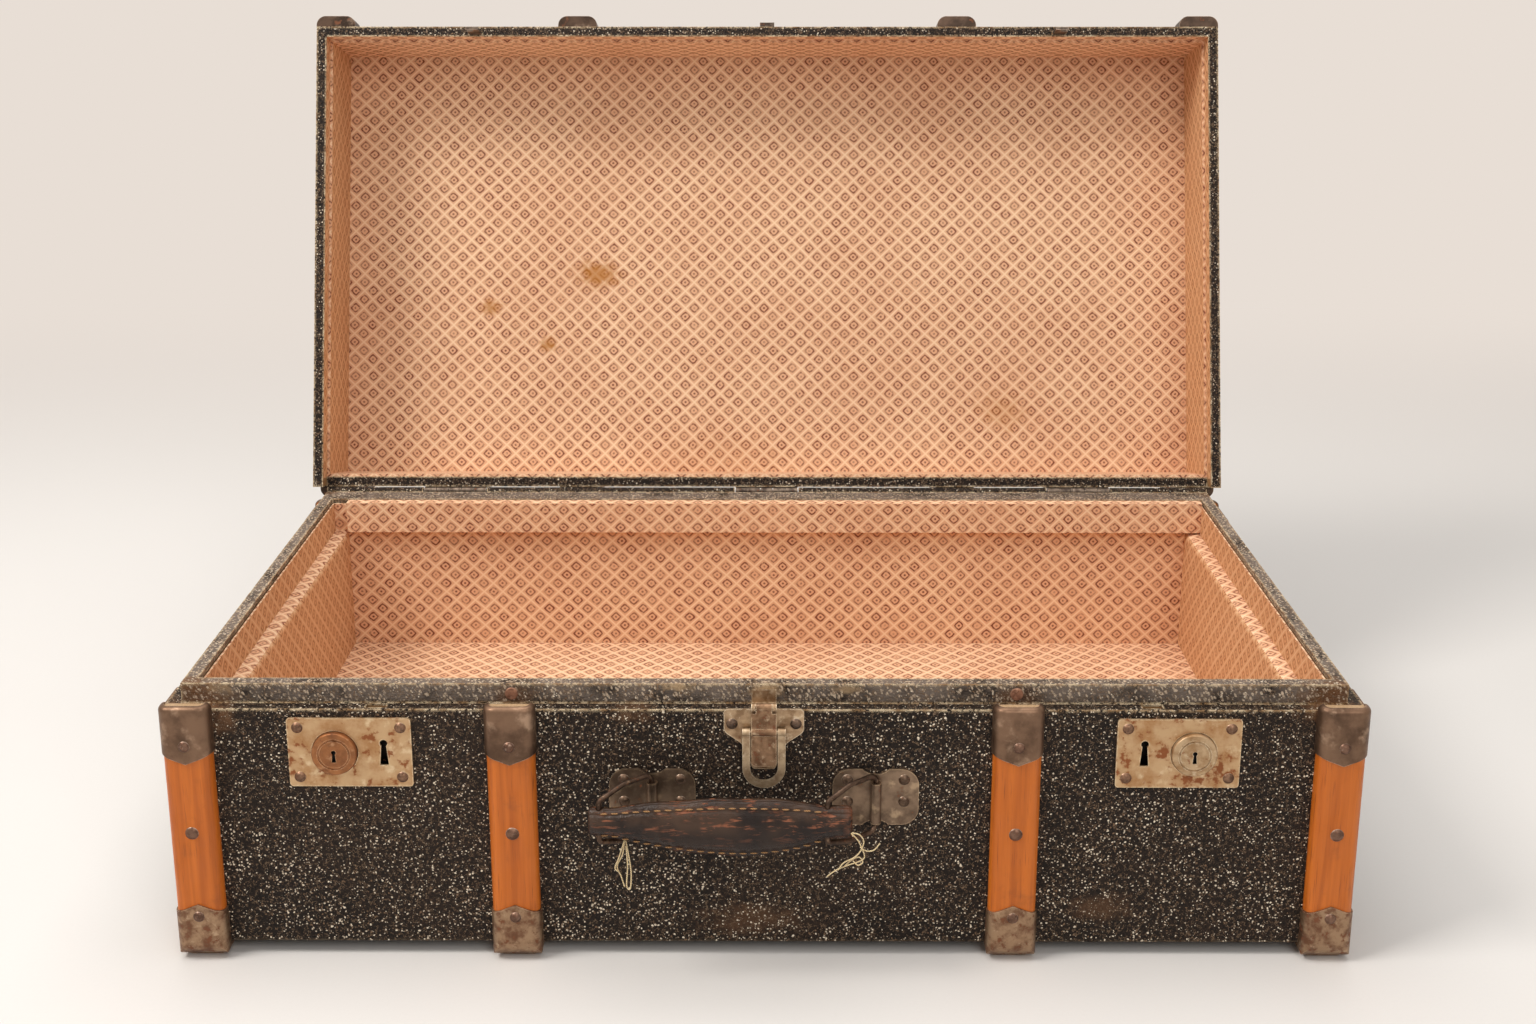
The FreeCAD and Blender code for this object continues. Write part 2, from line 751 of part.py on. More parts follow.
def staple(side):
    """The lid's hook: a flat strip with a notch on the bolt's side, in the closed lid's place."""
    x = staple_x(side)
    y0 = front + staple_inset
    strip = box(x - staple_width / 2, x + staple_width / 2, y0, y0 + staple_thickness,
                lid_rim - staple_reach, lid_rim + staple_length)
    z0 = seam - bolt_drop - bolt_height / 2 - staple_notch_clearance
    z1 = seam - bolt_drop + bolt_height / 2 + staple_notch_clearance
    edge = x + side * staple_width / 2
    depth = bolt_throw + staple_notch_clearance
    notch = box(*sorted((edge + side * over, edge - side * depth)), y0 - over,
                y0 + staple_thickness + over, z0, z1)
    return strip.cut(notch)


def staple_seat(side):
    x = staple_x(side)
    y0 = front + staple_inset
    return box(x - staple_width / 2, x + staple_width / 2, y0, y0 + staple_thickness, lid_rim - over,
               lid_rim + staple_length)


def catch():
    """The drawbolt catch: a riveted plate, a lever on the plate's knuckle, and a bail on the lever."""
    top = seam + catch_wing_top
    wing_low = top - catch_wing_height
    neck = seam - catch_neck_drop
    foot = seam - catch_foot_drop
    right = [V(catch_wing_half, front, top), V(catch_wing_half, front, wing_low),
             V(catch_neck_half, front, neck), V(catch_foot_half, front, foot)]
    left = [V(-point.x, front, point.z) for point in reversed(right)]
    radii = [catch_corner, catch_lobe, catch_flank, catch_corner]
    face = Part.Face(rounded_loop(right + left, radii + radii[::-1]))
    plate = face.extrude(V(0, -catch_plate_thickness, 0))
    strap = box(-strap_half, strap_half, front - catch_plate_thickness, front + lip_inset, seam,
                seam + strap_thickness)
    upturn = box(-strap_half, strap_half, front + lip_inset - strap_thickness, front + lip_inset, seam,
                 seam + strap_height)
    axis_y = front - lever_axis_out
    axis_z = seam + lever_axis_rise
    barrel = cylinder(lever_barrel, 2 * lever_half, V(-lever_half, axis_y, axis_z), V(1, 0, 0))
    root = box(-lever_half, lever_half, front - catch_plate_thickness, front, seam, axis_z)
    root = joined([root, box(-lever_half, lever_half, axis_y, front, seam, axis_z)]).common(
        box(-lever_half, lever_half, axis_y, front - lever_relief, seam, axis_z))
    middle = lever_half - lever_ear
    gap = box(-middle, middle, axis_y - 2 * lever_barrel, front, axis_z - lever_barrel - lever_relief,
              axis_z + 2 * lever_barrel)
    pin_hole = cylinder(lever_pin_radius + pin_clearance, 2 * lever_half + 2 * over,
                        V(-lever_half - over, axis_y, axis_z), V(1, 0, 0))
    whole = minus(joined([plate, strap, upturn, barrel, root]), gap, pin_hole)
    save("catch_plate", drilled(whole, catch_rivet_places()))

    inner = middle - sliding_gap
    turn = cylinder(lever_barrel, 2 * inner, V(-inner, axis_y, axis_z), V(1, 0, 0))
    plane = front - lever_plane_out
    y0, y1 = plane - lever_thickness / 2, plane + lever_thickness / 2
    tongue = box(-inner, inner, y0, y1, axis_z - lever_barrel - 2 * lever_relief, axis_z)
    blade = box(-lever_half, lever_half, y0, y1, seam - lever_end_drop, axis_z - lever_barrel - lever_relief)
    low_edges = [edge for edge in blade.Edges if edge.BoundBox.ZMax < seam - lever_end_drop + over
                 and edge.BoundBox.XLength < over]
    blade = blade.makeFillet(lever_ear, low_edges)
    pivot_z = seam - bail_pivot_drop
    bail_hole = cylinder(bail_pin_radius + pin_clearance, 2 * bail_outer_half + 2 * over,
                         V(-bail_outer_half - over, plane, pivot_z), V(1, 0, 0))
    boss = cylinder(bail_eye, 2 * lever_half, V(-lever_half, plane, pivot_z), V(1, 0, 0))
    boss = boss.common(box(-lever_half, lever_half, plane - bail_eye, y1, pivot_z - bail_eye,
                           pivot_z + bail_eye))
    save("catch_lever", minus(joined([turn, tongue, blade, boss]), pin_hole, bail_hole))
    save("catch_lever_pin", cylinder(lever_pin_radius, 2 * lever_half, V(-lever_half, axis_y, axis_z),
                                     V(1, 0, 0)))
    save("catch_bail_pin", cylinder(bail_pin_radius, 2 * bail_outer_half,
                                    V(-bail_outer_half, plane, pivot_z), V(1, 0, 0)))

    end_z = seam - bail_end_drop + bail_outer_half
    inner_half = bail_outer_half - bail_bar
    outer_face = outline([V(-bail_outer_half, plane, pivot_z), V(-bail_outer_half, plane, end_z),
                          (V(0, plane, end_z - bail_outer_half), V(bail_outer_half, plane, end_z)),
                          V(bail_outer_half, plane, pivot_z)])
    inner_face = outline([V(-inner_half, plane, pivot_z + over), V(-inner_half, plane, end_z),
                          (V(0, plane, end_z - inner_half), V(inner_half, plane, end_z)),
                          V(inner_half, plane, pivot_z + over)])
    thick = V(0, bail_thickness, 0)
    loop = moved(outer_face.extrude(thick).cut(inner_face.extrude(thick)), 0, -bail_thickness / 2, 0)
    eye = cylinder(bail_eye, bail_bar, V(inner_half, plane, pivot_z), V(1, 0, 0))
    bail = joined([loop, eye, mirrored_x(eye)])
    save("catch_bail", minus(bail, bail_hole))
    save("catch_rivets", [domed_rivet(*place) for place in catch_rivet_places()])


def keeper():
    """The catch's keeper on the shut lid's front: a plate with a hook that opens upwards."""
    z0 = lid_rim + keeper_bottom
    plate = box(-keeper_half, keeper_half, front - keeper_sheet, front, z0, z0 + keeper_height)
    arm = box(-keeper_hook_half, keeper_hook_half, front - keeper_sheet - keeper_hook_reach, front, z0,
              z0 + keeper_sheet)
    hook = box(-keeper_hook_half, keeper_hook_half, front - keeper_sheet - keeper_hook_reach,
               front - keeper_hook_reach, z0, z0 + keeper_hook_height)
    return joined([plate, arm, hook])


def butterfly_plate(x, z):
    """The pressed plate of a handle ring: two rounded wings, dipped at the knuckle, with a rolled barrel."""
    plate_z = z + handle_plate_lift
    plate = rounded_plate(x, plate_z, 2 * handle_plate_half_width, 2 * handle_plate_half_height,
                          handle_plate_thickness, handle_plate_corner)
    dips = []
    for sign in (-1, 1):
        dip_z = plate_z + sign * (handle_plate_half_height + handle_plate_dip_radius - handle_plate_dip)
        dips.append(cylinder(handle_plate_dip_radius, 2 * over + handle_plate_thickness,
                             V(x, front - handle_plate_thickness - over, dip_z), V(0, 1, 0)))
    barrel_y = front - handle_barrel_out
    low = z - handle_barrel_length / 2
    barrel = cylinder(handle_barrel_radius, handle_barrel_length, V(x, barrel_y, low), V(0, 0, 1))
    bore = cylinder(ring_wire + ring_clearance, 2 * case_front_height,
                    V(x, barrel_y, z - case_front_height), V(0, 0, 1))
    return drilled(minus(joined([minus(plate, *dips), barrel]), bore), handle_rivet_places(x))


def rounded_loop(points, radii):
    """A closed path through points in one plane, each corner rounded by its own radius."""
    edges = []
    count = len(points)
    ends = []
    for i, point in enumerate(points):
        back = (points[i - 1] - point).normalize()
        ahead = (points[(i + 1) % count] - point).normalize()
        half_turn = back.getAngle(ahead) / 2
        reach = radii[i] / math.tan(half_turn)
        inward = (back + ahead).normalize()
        centre = point + inward * (radii[i] / math.sin(half_turn))
        ends.append((point + back * reach, centre - inward * radii[i], point + ahead * reach))
    for i, (enter, middle, leave) in enumerate(ends):
        edges.append(Part.Arc(enter, middle, leave).toShape())
        edges.append(Part.LineSegment(leave, ends[(i + 1) % count][0]).toShape())
    return Part.Wire(edges)


def ring(x, z):
    """A wire ring lying out to the left of its barrel, then swung forward to its resting angle."""
    upper = [V(0, 0, ring_bar_half), V(-ring_straight, 0, ring_bar_half), V(-ring_reach, 0, ring_end_half)]
    lower = [V(point.x, 0, -point.z) for point in reversed(upper)]
    radii = [ring_corner, ring_shoulder_radius, ring_end_corner]
    path = rounded_loop(upper + lower, radii + radii[::-1])
    start = path.Edges[-1]
    middle = start.valueAt((start.FirstParameter + start.LastParameter) / 2)
    profile = Part.Wire(Part.makeCircle(ring_wire, middle, start.tangentAt(start.FirstParameter)))
    order = [Part.LineSegment(middle, start.valueAt(start.LastParameter)).toShape()]
    order += list(path.Edges[:-1])
    order.append(Part.LineSegment(start.valueAt(start.FirstParameter), middle).toShape())
    loop = Part.Wire(order).makePipeShell([profile], True, True)
    flat = moved(loop, x, front - handle_barrel_out, z)
    return turned(flat, V(0, 0, 1), ring_rest_angle, V(x, front - handle_barrel_out, z))


def grip_section(x, height, thickness, z):
    """An upright oval across the grip."""
    edge = Part.Ellipse(V(0, 0, 0), height / 2, thickness / 2).toShape()
    edge.transformShape(FreeCAD.Placement(V(0, 0, 0), FreeCAD.Rotation(V(0, 0, 1), V(1, 0, 0))).toMatrix())
    edge.translate(V(x, 0, z))
    return Part.Wire(edge)


def grip(left, right, y, z):
    """The stitched leather grip: slim where each ring passes through it, deep and sagging between them.

    Its swell is a power of a sine, drawn towards the right by a power of the share of the way along.
    """
    x0 = left - grip_left_over
    x1 = right + grip_right_over
    slim0 = left + grip_slim_left
    slim1 = right - grip_slim_right
    thin = grip_end_thickness
    taper = grip_end_taper_share
    wires = [grip_section(x0, grip_left_height * taper, thin * taper, z),
             grip_section(left, grip_left_height, thin, z)]
    for i in range(grip_stations + 1):
        share = (1 - math.cos(math.pi * i / grip_stations)) / 2
        full = max(0.0, math.sin(math.pi * share ** grip_skew_power)) ** grip_fullness_power
        height = grip_left_height + (grip_right_height - grip_left_height) * share
        wires.append(grip_section(slim0 + (slim1 - slim0) * share,
                                  height + (grip_middle_height - height) * full,
                                  thin + (grip_middle_thickness - thin) * full, z - grip_sag * full))
    wires.append(grip_section((right + x1) / 2, grip_right_height, thin, z))
    wires.append(grip_section(x1, grip_right_height * taper, thin * taper, z))
    body = moved(Part.makeLoft(wires, True, False), 0, y, 0)
    bores = [cylinder(ring_wire + ring_clearance, 2 * grip_middle_height, V(x, y, z - grip_middle_height),
                      V(0, 0, 1)) for x in (left, right)]
    return minus(body, *bores)


def handle():
    z = seam - handle_drop
    for name, x in (("left", -handle_x), ("right", handle_x)):
        save("handle_plate_" + name, butterfly_plate(x, z))
        save("handle_ring_" + name, ring(x, z))
    save("handle_grip", grip(-handle_x - grip_shift, handle_x - grip_shift, grip_y, z))
    save("handle_rivets", [domed_rivet(*place)
                           for x in (-handle_x, handle_x) for place in handle_rivet_places(x)])


def rim_studs():
    """Round-headed tacks on the lip above the two inner slats."""
    studs = []
    for x in slat_xs[1:3]:
        head = cylinder(stud_diameter / 2, stud_proud, V(x, front + lip_inset, seam + stud_height), V(0, -1, 0))
        crown = [edge for edge in head.Edges if edge.BoundBox.YMax < front + lip_inset - stud_proud / 2]
        studs.append(head.makeFillet(stud_proud / 2, crown))
    return studs


def hinge_leaf_solid(x, lid_side):
    """One leaf of a back hinge with its own knuckles, in the closed lid's place."""
    left = x - hinge_leaf_width / 2
    pitch = hinge_leaf_width / hinge_knuckles
    sign = 1 if lid_side else -1
    near = rim + sign * (hinge_barrel + leaf_relief)
    far = rim + sign * hinge_leaf_height
    shapes = [box(left, left + hinge_leaf_width, half_d, half_d + hinge_leaf, *sorted((near, far)))]
    for i in range(1 if lid_side else 0, hinge_knuckles, 2):
        x0 = left + i * pitch + knuckle_gap / 2
        x1 = x0 + pitch - knuckle_gap
        shapes.append(cylinder(hinge_barrel, x1 - x0, V(x0, hinge_y, rim), V(1, 0, 0)))
        shapes.append(box(x0, x1, half_d + knuckle_stand_off, half_d + knuckle_stand_off + hinge_leaf,
                          *sorted((rim, near + sign * over))))
    bore = cylinder(hinge_pin_radius + pin_clearance, hinge_leaf_width + 2 * over, V(left - over, hinge_y, rim),
                    V(1, 0, 0))
    rise = sign * hinge_screw_row
    return drilled(minus(joined(shapes), bore), hinge_screw_places(x, rise))


def joint_welts():
    """Cloth-covered cords in line with the hinge barrels, sewn to the back, which close the joint."""
    ends = [lip_inset - half_w]
    for x in hinge_xs:
        ends += [x - hinge_leaf_width / 2 - knuckle_gap, x + hinge_leaf_width / 2 + knuckle_gap]
    ends.append(half_w - lip_inset)
    welts = []
    for x0, x1 in zip(ends[::2], ends[1::2]):
        cord = cylinder(welt_radius, x1 - x0, V(x0, hinge_y, rim), V(1, 0, 0))
        welts.append(joined([cord, box(x0, x1, half_d, half_d + cover, rim - welt_tail, rim)]))
    return welts


def hinges():
    save("hinge_leaves_base", [hinge_leaf_solid(x, False) for x in hinge_xs])
    save("hinge_leaves_lid", [opened(hinge_leaf_solid(x, True)) for x in hinge_xs])
    save("hinge_pins", [cylinder(hinge_pin_radius, hinge_leaf_width, V(x - hinge_leaf_width / 2, hinge_y, rim),
                                 V(1, 0, 0)) for x in hinge_xs])
    save("hinge_screws_base", [domed_rivet(*place) for place in back_places(-hinge_screw_row)])
    save("hinge_screws_lid", [opened(domed_rivet(*place)) for place in back_places(hinge_screw_row)])


def back_notch(inset, lift):
    """The space under the lid's short back wall, which stops above the rim of the base."""
    return box(inset - half_w, half_w - inset, half_d - lid_in - lid_lining_thick - over, half_d + over,
               lid_rim - over, lid_back_rim + lift)


def lid_walls():
    wood_top = lid_top - cover - lid_board
    z0 = lid_rim + cover
    seats = [staple_seat(side) for side in (-1, 1)]
    front_wall = minus(box(cover - half_w, half_w - cover, front + cover, front + lid_in, z0, wood_top), *seats)
    back_wall = box(cover - half_w, half_w - cover, half_d - lid_in, half_d - cover, z0, wood_top)
    back_wall = drilled(back_wall.cut(back_notch(lid_in + lid_lining_thin, cover)),
                        back_places(hinge_screw_row))
    side = box(cover - half_w, lid_in - half_w, front + lid_in, half_d - lid_in, z0, wood_top)
    save("lid_front_wall", opened(front_wall))
    save("lid_back_wall", opened(back_wall))
    save("lid_side_walls", [opened(wall) for wall in both_sides(side)])
    save("lid_top_board", opened(inset_box(cover, wood_top, lid_top - cover)))


def lid_covering():
    thin = lid_in + lid_lining_thin
    outside = inset_box(0, lid_rim, lid_top).cut(back_notch(thin, 0))
    inside = inset_box(cover, lid_rim + cover, lid_top - cover).cut(back_notch(thin, cover))
    mouth = inset_box(thin, lid_rim - over, lid_top - cover - over)
    seats = [staple_seat(side) for side in (-1, 1)]
    return opened(drilled(minus(outside, inside, mouth, *seats), back_places(hinge_screw_row)))


def lid_lining():
    """Paper on card inside the lid: thin beside the rim, where the lip of the base enters, thicker above it."""
    z0 = lid_rim + cover
    wood_top = lid_top - cover - lid_board
    step = lid_rim + lid_rebate + cover
    shell = inset_box(lid_in, z0, wood_top)
    rebate = inset_box(lid_in + lid_lining_thin, z0 - over, step)
    room = inset_box(lid_in + lid_lining_thick, z0 - over, lid_ceiling)
    notch = back_notch(lid_in + lid_lining_thin, cover)
    seats = [staple_seat(side) for side in (-1, 1)]
    return opened(minus(shell, rebate, room, notch, *seats))


def lid_slats_and_caps():
    front_end = seam + lid_slat_above_seam
    back_end = lid_back_rim + lid_back_slat_above_rim
    for name, z_end, placed in (("front", front_end, opened), ("back", back_end, opened_back)):
        save("lid_" + name + "_slats", [placed(drilled(bent_slat(x, lid_top, -1, top_bar, z_end),
                                                       lid_side_places(x, z_end))) for x in slat_xs])
    tops = []
    edge = []
    rivets = []
    for x in slat_xs:
        upper = lid_top_places(x)
        places = lid_side_places(x, front_end) + upper
        tops.append(drilled(top_bar(x, front + foot_round, half_d - foot_round), upper))
        edge.append(drilled(edge_cap(x, lid_top, -1, top_bar, lid_block(), cap_side_length - cap_point,
                                     under_cap_length), places))
        rivets += [opened(domed_rivet(*place)) for place in places]
        rivets += [opened_back(domed_rivet(*place)) for place in lid_side_places(x, back_end)]
    save("lid_top_slats", [opened(slat) for slat in tops])
    save("lid_edge_caps", [opened(cap) for cap in edge] + [opened_back(cap) for cap in edge])
    save("lid_rim_caps", [opened(rim_cap(x, front_end, wing_height)) for x in slat_xs]
         + [opened_back(rim_cap(x, back_end, lid_back_wing_height)) for x in slat_xs])
    save("lid_slat_rivets", rivets)


def rim_cap(x, z_end, wing):
    """A short cap over the rim end of a lid slat, closed across the slat's end."""
    top = z_end + cap_side_length / 2 + cap_rivet_diameter
    region = pointed_region(x, top - cap_point / 2, top + cap_point / 2, z_end - cap_sheet - over)
    shell = front_bar(x, z_end - cap_sheet, top + cap_point, cap_sheet)
    cap = minus(shell, front_bar(x, z_end, top + 2 * cap_point)).common(region).removeSplitter()
    if is_corner(x):
        cap = joined([cap, side_wing(x, z_end, z_end + wing), wing_link(x, z_end, top - cap_point)])
    return drilled(cap, lid_side_places(x, z_end))


base_walls()
save("base_covering", base_covering())
base_lining()
base_slats_and_caps()
save("rim_studs", rim_studs())
for hand in (-1, 1):
    lock(hand)
save("lock_springs", [lock_spring(hand) for hand in (-1, 1)])
save("lock_screws", [domed_rivet(*place) for hand in (-1, 1) for place in lock_screw_places(hand)])
catch()
handle()
hinges()
save("joint_welts", joint_welts())
lid_walls()
save("lid_covering", lid_covering())
save("lid_lining", lid_lining())
lid_slats_and_caps()
save("lid_keeper", opened(keeper()))
save("lid_staples", [opened(staple(hand)) for hand in (-1, 1)])
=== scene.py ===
import logging
import math
from abc import ABC, abstractmethod
from dataclasses import dataclass
from enum import Enum

import bpy
import numpy as np
from mathutils import Matrix, Vector


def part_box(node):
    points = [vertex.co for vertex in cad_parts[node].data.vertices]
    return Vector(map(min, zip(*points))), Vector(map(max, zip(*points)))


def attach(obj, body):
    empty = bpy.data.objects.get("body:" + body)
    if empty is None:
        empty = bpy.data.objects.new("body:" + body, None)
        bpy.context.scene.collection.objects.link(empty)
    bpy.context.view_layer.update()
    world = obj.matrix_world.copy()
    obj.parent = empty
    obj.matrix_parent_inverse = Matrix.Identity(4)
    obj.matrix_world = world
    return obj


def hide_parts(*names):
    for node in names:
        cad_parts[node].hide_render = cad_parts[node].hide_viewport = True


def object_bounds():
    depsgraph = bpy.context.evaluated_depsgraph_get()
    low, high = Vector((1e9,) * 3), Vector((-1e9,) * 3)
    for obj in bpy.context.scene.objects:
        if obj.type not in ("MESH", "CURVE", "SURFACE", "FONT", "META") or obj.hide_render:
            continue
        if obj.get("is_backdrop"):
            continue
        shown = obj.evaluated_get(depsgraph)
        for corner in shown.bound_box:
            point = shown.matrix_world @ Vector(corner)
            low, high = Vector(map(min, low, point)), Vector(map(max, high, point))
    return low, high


# The looks of a vintage cabin trunk with its lid open: finishes for its solid pieces, the stitched
# leather grip with its loose threads, and the studio it stands in. The mesh code works in metres
# and the patterns in millimetres.

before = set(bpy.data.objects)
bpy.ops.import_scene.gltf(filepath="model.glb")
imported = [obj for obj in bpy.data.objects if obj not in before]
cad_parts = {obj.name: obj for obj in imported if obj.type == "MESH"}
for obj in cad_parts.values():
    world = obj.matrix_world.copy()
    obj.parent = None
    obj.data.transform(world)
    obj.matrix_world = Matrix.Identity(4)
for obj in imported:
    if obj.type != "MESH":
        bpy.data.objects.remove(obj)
log = logging.getLogger("trunk")
Tree = bpy.types.NodeTree
Socket = bpy.types.NodeSocket
Colour = tuple[float, float, float, float]
Place = tuple[float, float, float]
Spots = tuple[tuple[float, ...], ...]

MM_PER_METRE = 1000.0
HINGE_MM = (0.0, 137.932, 214.2)  # a point on the lid's hinge line
RAGGED_MM = 7.0  # how wide the tatters of a stain's edge are
SOFTLY = "SMOOTHSTEP"  # a range that eases in and out

# Where a Mix node takes its two colours, and its two plain numbers.
UNDER, OVER = 6, 7
FIRST, SECOND = 2, 3


def write_size(key: str, known: dict[str, list[list[float]]]) -> None:
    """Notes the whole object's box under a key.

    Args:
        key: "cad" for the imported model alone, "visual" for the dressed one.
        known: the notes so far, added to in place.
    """
    low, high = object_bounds()
    known[key] = [list(low), list(high)]


sizes: dict[str, list[list[float]]] = {}
write_size("cad", sizes)


def linear(code: str) -> Colour:
    """Turns an sRGB hex colour into linear light by the sRGB curve.

    Args:
        code: six hex digits after a hash.

    Returns:
        Red, green, blue and an alpha of one.
    """
    shares = [int(code[i:i + 2], 16) / 255 for i in (1, 3, 5)]
    light = [s / 12.92 if s <= 0.04045 else ((s + 0.055) / 1.055) ** 2.4 for s in shares]
    return (*light, 1.0)


def feed(tree: Tree, node: bpy.types.Node, inputs: dict) -> bpy.types.Node:
    """Fills a node's inputs.

    Args:
        tree: the material's nodes.
        node: the node.
        inputs: a value or a socket for each input, by name or number.

    Returns:
        The same node.
    """
    for key, value in inputs.items():
        if isinstance(value, Socket):
            tree.links.new(value, node.inputs[key])
        else:
            node.inputs[key].default_value = value
    return node


def add(tree: Tree, kind: str, inputs: dict | None = None, **settings: object) -> bpy.types.Node:
    """Adds a shader node with its settings, values and links.

    Args:
        tree: the material's nodes.
        kind: the node's type without its "ShaderNode".
        inputs: a value or a socket for each input, by name or number.
        settings: the node's own properties.

    Returns:
        The new node.
    """
    node = tree.nodes.new("ShaderNode" + kind)
    for key, value in settings.items():
        setattr(node, key, value)
    return feed(tree, node, inputs or {})


def product(tree: Tree, *shares: Socket | float) -> Socket:
    """Multiplies shares, so that the result holds only where all of them do.

    Args:
        tree: the material's nodes.
        shares: a socket, then sockets or numbers.

    Returns:
        The product.
    """
    result = shares[0]
    for share in shares[1:]:
        result = add(tree, "Math", {0: result, 1: share}, operation="MULTIPLY").outputs[0]
    return result


def paint(tree: Tree, ground: Socket | str, *coats: tuple[Socket, Socket | str]) -> Socket:
    """Lays coats of colour over a ground, one after the other.

    Args:
        tree: the material's nodes.
        ground: the first colour, as sRGB hex or a socket.
        coats: for each coat, where it covers, from 0 to 1, and its colour.

    Returns:
        The colour with all its coats.
    """
    tone = linear(ground) if isinstance(ground, str) else ground
    for cover, colour in coats:
        over = linear(colour) if isinstance(colour, str) else colour
        tone = add(tree, "Mix", {0: cover, UNDER: tone, OVER: over}, data_type="RGBA").outputs[2]
    return tone


@dataclass(frozen=True)
class Patches:
    """Soft patches: a patch's width in mm, the noise levels where it starts and is full, and the
    octaves and roughness of the noise."""

    width: float
    start: float
    full: float
    octaves: float = 3.0
    roughness: float = 0.6

    def cover(self, tree: Tree, points: Socket) -> Socket:
        """Cuts fractal noise between the two levels.

        Args:
            tree: the material's nodes.
            points: the coordinates in mm.

        Returns:
            A socket from 0 to 1.
        """
        noise = add(tree, "TexNoise", {"Vector": points, "Scale": 1 / self.width,
                                       "Detail": self.octaves, "Roughness": self.roughness})
        return add(tree, "MapRange", {"Value": noise.outputs[0], "From Min": self.start,
                                      "From Max": self.full},
                   interpolation_type=SOFTLY).outputs[0]


@dataclass(frozen=True)
class Rubbing:
    """Rubbed edges: how far the rubbing reaches in metres, and the turns of the surface where it
    starts and is full, broken up by patches."""

    reach: float
    start: float
    full: float
    broken: Patches

    def cover(self, tree: Tree, points: Socket) -> Socket:
        """Finds where a surface turns over an edge.

        The turn is one less the dot of the rounded and the flat normal, cut between the two
        levels.

        Args:
            tree: the material's nodes.
            points: the coordinates in mm.

        Returns:
            A socket from 0 to 1.
        """
        rounded = add(tree, "Bevel", {"Radius": self.reach}, samples=6)
        flat = add(tree, "NewGeometry")
        turn = add(tree, "VectorMath", {0: rounded.outputs[0], 1: flat.outputs["Normal"]},
                   operation="DOT_PRODUCT").outputs["Value"]
        edge = add(tree, "MapRange", {"Value": turn, "From Min": 1 - self.start,
                                      "From Max": 1 - self.full},
                   interpolation_type=SOFTLY).outputs[0]
        return product(tree, edge, self.broken.cover(tree, points))


class Pose(Enum):
    """How a piece lies: as built, or carried round the hinges with the open lid."""

    CASE = 0.0
    LID = math.radians(106.0)


class Grain(Enum):
    """Which way the wood runs, as millimetres of one streak along X, Y and Z."""

    UPRIGHT = (3.2, 3.2, 90.0)
    DEPTH = (3.2, 90.0, 3.2)
    LENGTH = (90.0, 3.2, 3.2)

    def along(self, tree: Tree, points: Socket) -> Socket:
        """Draws coordinates in mm out along the grain, so that one unit is one streak."""
        return add(tree, "VectorMath", {0: points, 1: tuple(1 / size for size in self.value)},
                   operation="MULTIPLY").outputs[0]


@dataclass(frozen=True)
class Finish(ABC):
    """What every finish starts from: a name and how its piece lies."""

    name: str
    pose: Pose = Pose.CASE

    @abstractmethod
    def material(self) -> bpy.types.Material:
        """Builds the finish."""

    def begin(self) -> tuple[bpy.types.Material, Tree, bpy.types.Node, Socket]:
        """Opens a material.

        Returns:
            The material, its nodes, its shader, and coordinates in mm as if the lid were shut.
        """
        material = bpy.data.materials.new(self.name)
        material.use_nodes = True
        tree = material.node_tree
        shader = tree.nodes["Principled BSDF"]
        place = add(tree, "TexCoord").outputs["Object"]
        points = add(tree, "VectorMath", {0: place, "Scale": MM_PER_METRE},
                     operation="SCALE").outputs[0]
        if self.pose is Pose.LID:
            points = add(tree, "VectorRotate", {"Vector": points, "Center": HINGE_MM,
                                                "Angle": self.pose.value},
                         rotation_type="X_AXIS").outputs[0]
        return material, tree, shader, points

    def spots(self, tree: Tree, points: Socket, tone: Socket, places: Spots,
              colour: str) -> Socket:
        """Lays ragged soft-edged patches of a colour over another.

        Noise, times 1.6 of a patch's reach, is added to the distance from its centre, and the
        patch fades in over most of its reach.

        Args:
            tree: the material's nodes.
            points: the coordinates in mm.
            tone: the colour so far.
            places: centre x, y, z, reach in mm, strength, and how much the patch is drawn out
                along X, for each.
            colour: the patches' sRGB hex.

        Returns:
            The colour with the patches.
        """
        ragged = add(tree, "TexNoise", {"Vector": points, "Scale": 1 / RAGGED_MM, "Detail": 5.0,
                                        "Roughness": 0.65}).outputs[0]
        for x, y, z, reach, strength, stretch in places:
            away = add(tree, "VectorMath", {0: points, 1: (x, y, z)},
                       operation="SUBTRACT").outputs[0]
            away = add(tree, "VectorMath", {0: away, 1: (1 / stretch, 1.0, 1.0)},
                       operation="MULTIPLY").outputs[0]
            far = add(tree, "VectorMath", {0: away}, operation="LENGTH").outputs["Value"]
            far = add(tree, "Math", {0: ragged, 1: 1.6 * reach, 2: far},
                      operation="MULTIPLY_ADD").outputs[0]
            cover = add(tree, "MapRange", {"Value": far, "From Min": 1.75 * reach,
                                           "From Max": 0.95 * reach, "To Max": strength},
                        interpolation_type=SOFTLY).outputs[0]
            tone = paint(tree, tone, (cover, colour))
        return tone

    def close(self, tree: Tree, shader: bpy.types.Node, colour: Socket, relief: Socket,
              depth: float, strength: float = 1.0, **gloss: Socket | float) -> None:
        """Joins the colour, the relief and the gloss to the shader.

        Args:
            tree: the material's nodes.
            shader: its Principled shader.
            colour: the finished colour.
            relief: the height from 0 to 1.
            depth: the relief's depth in metres.
            strength: how much of it counts.
            gloss: the shader's other inputs, with underscores for spaces.
        """
        bump = add(tree, "Bump", {"Height": relief, "Distance": depth, "Strength": strength})
        feed(tree, shader, {"Base Color": colour, "Normal": bump.outputs[0]})
        feed(tree, shader, {key.replace("_", " "): value for key, value in gloss.items()})


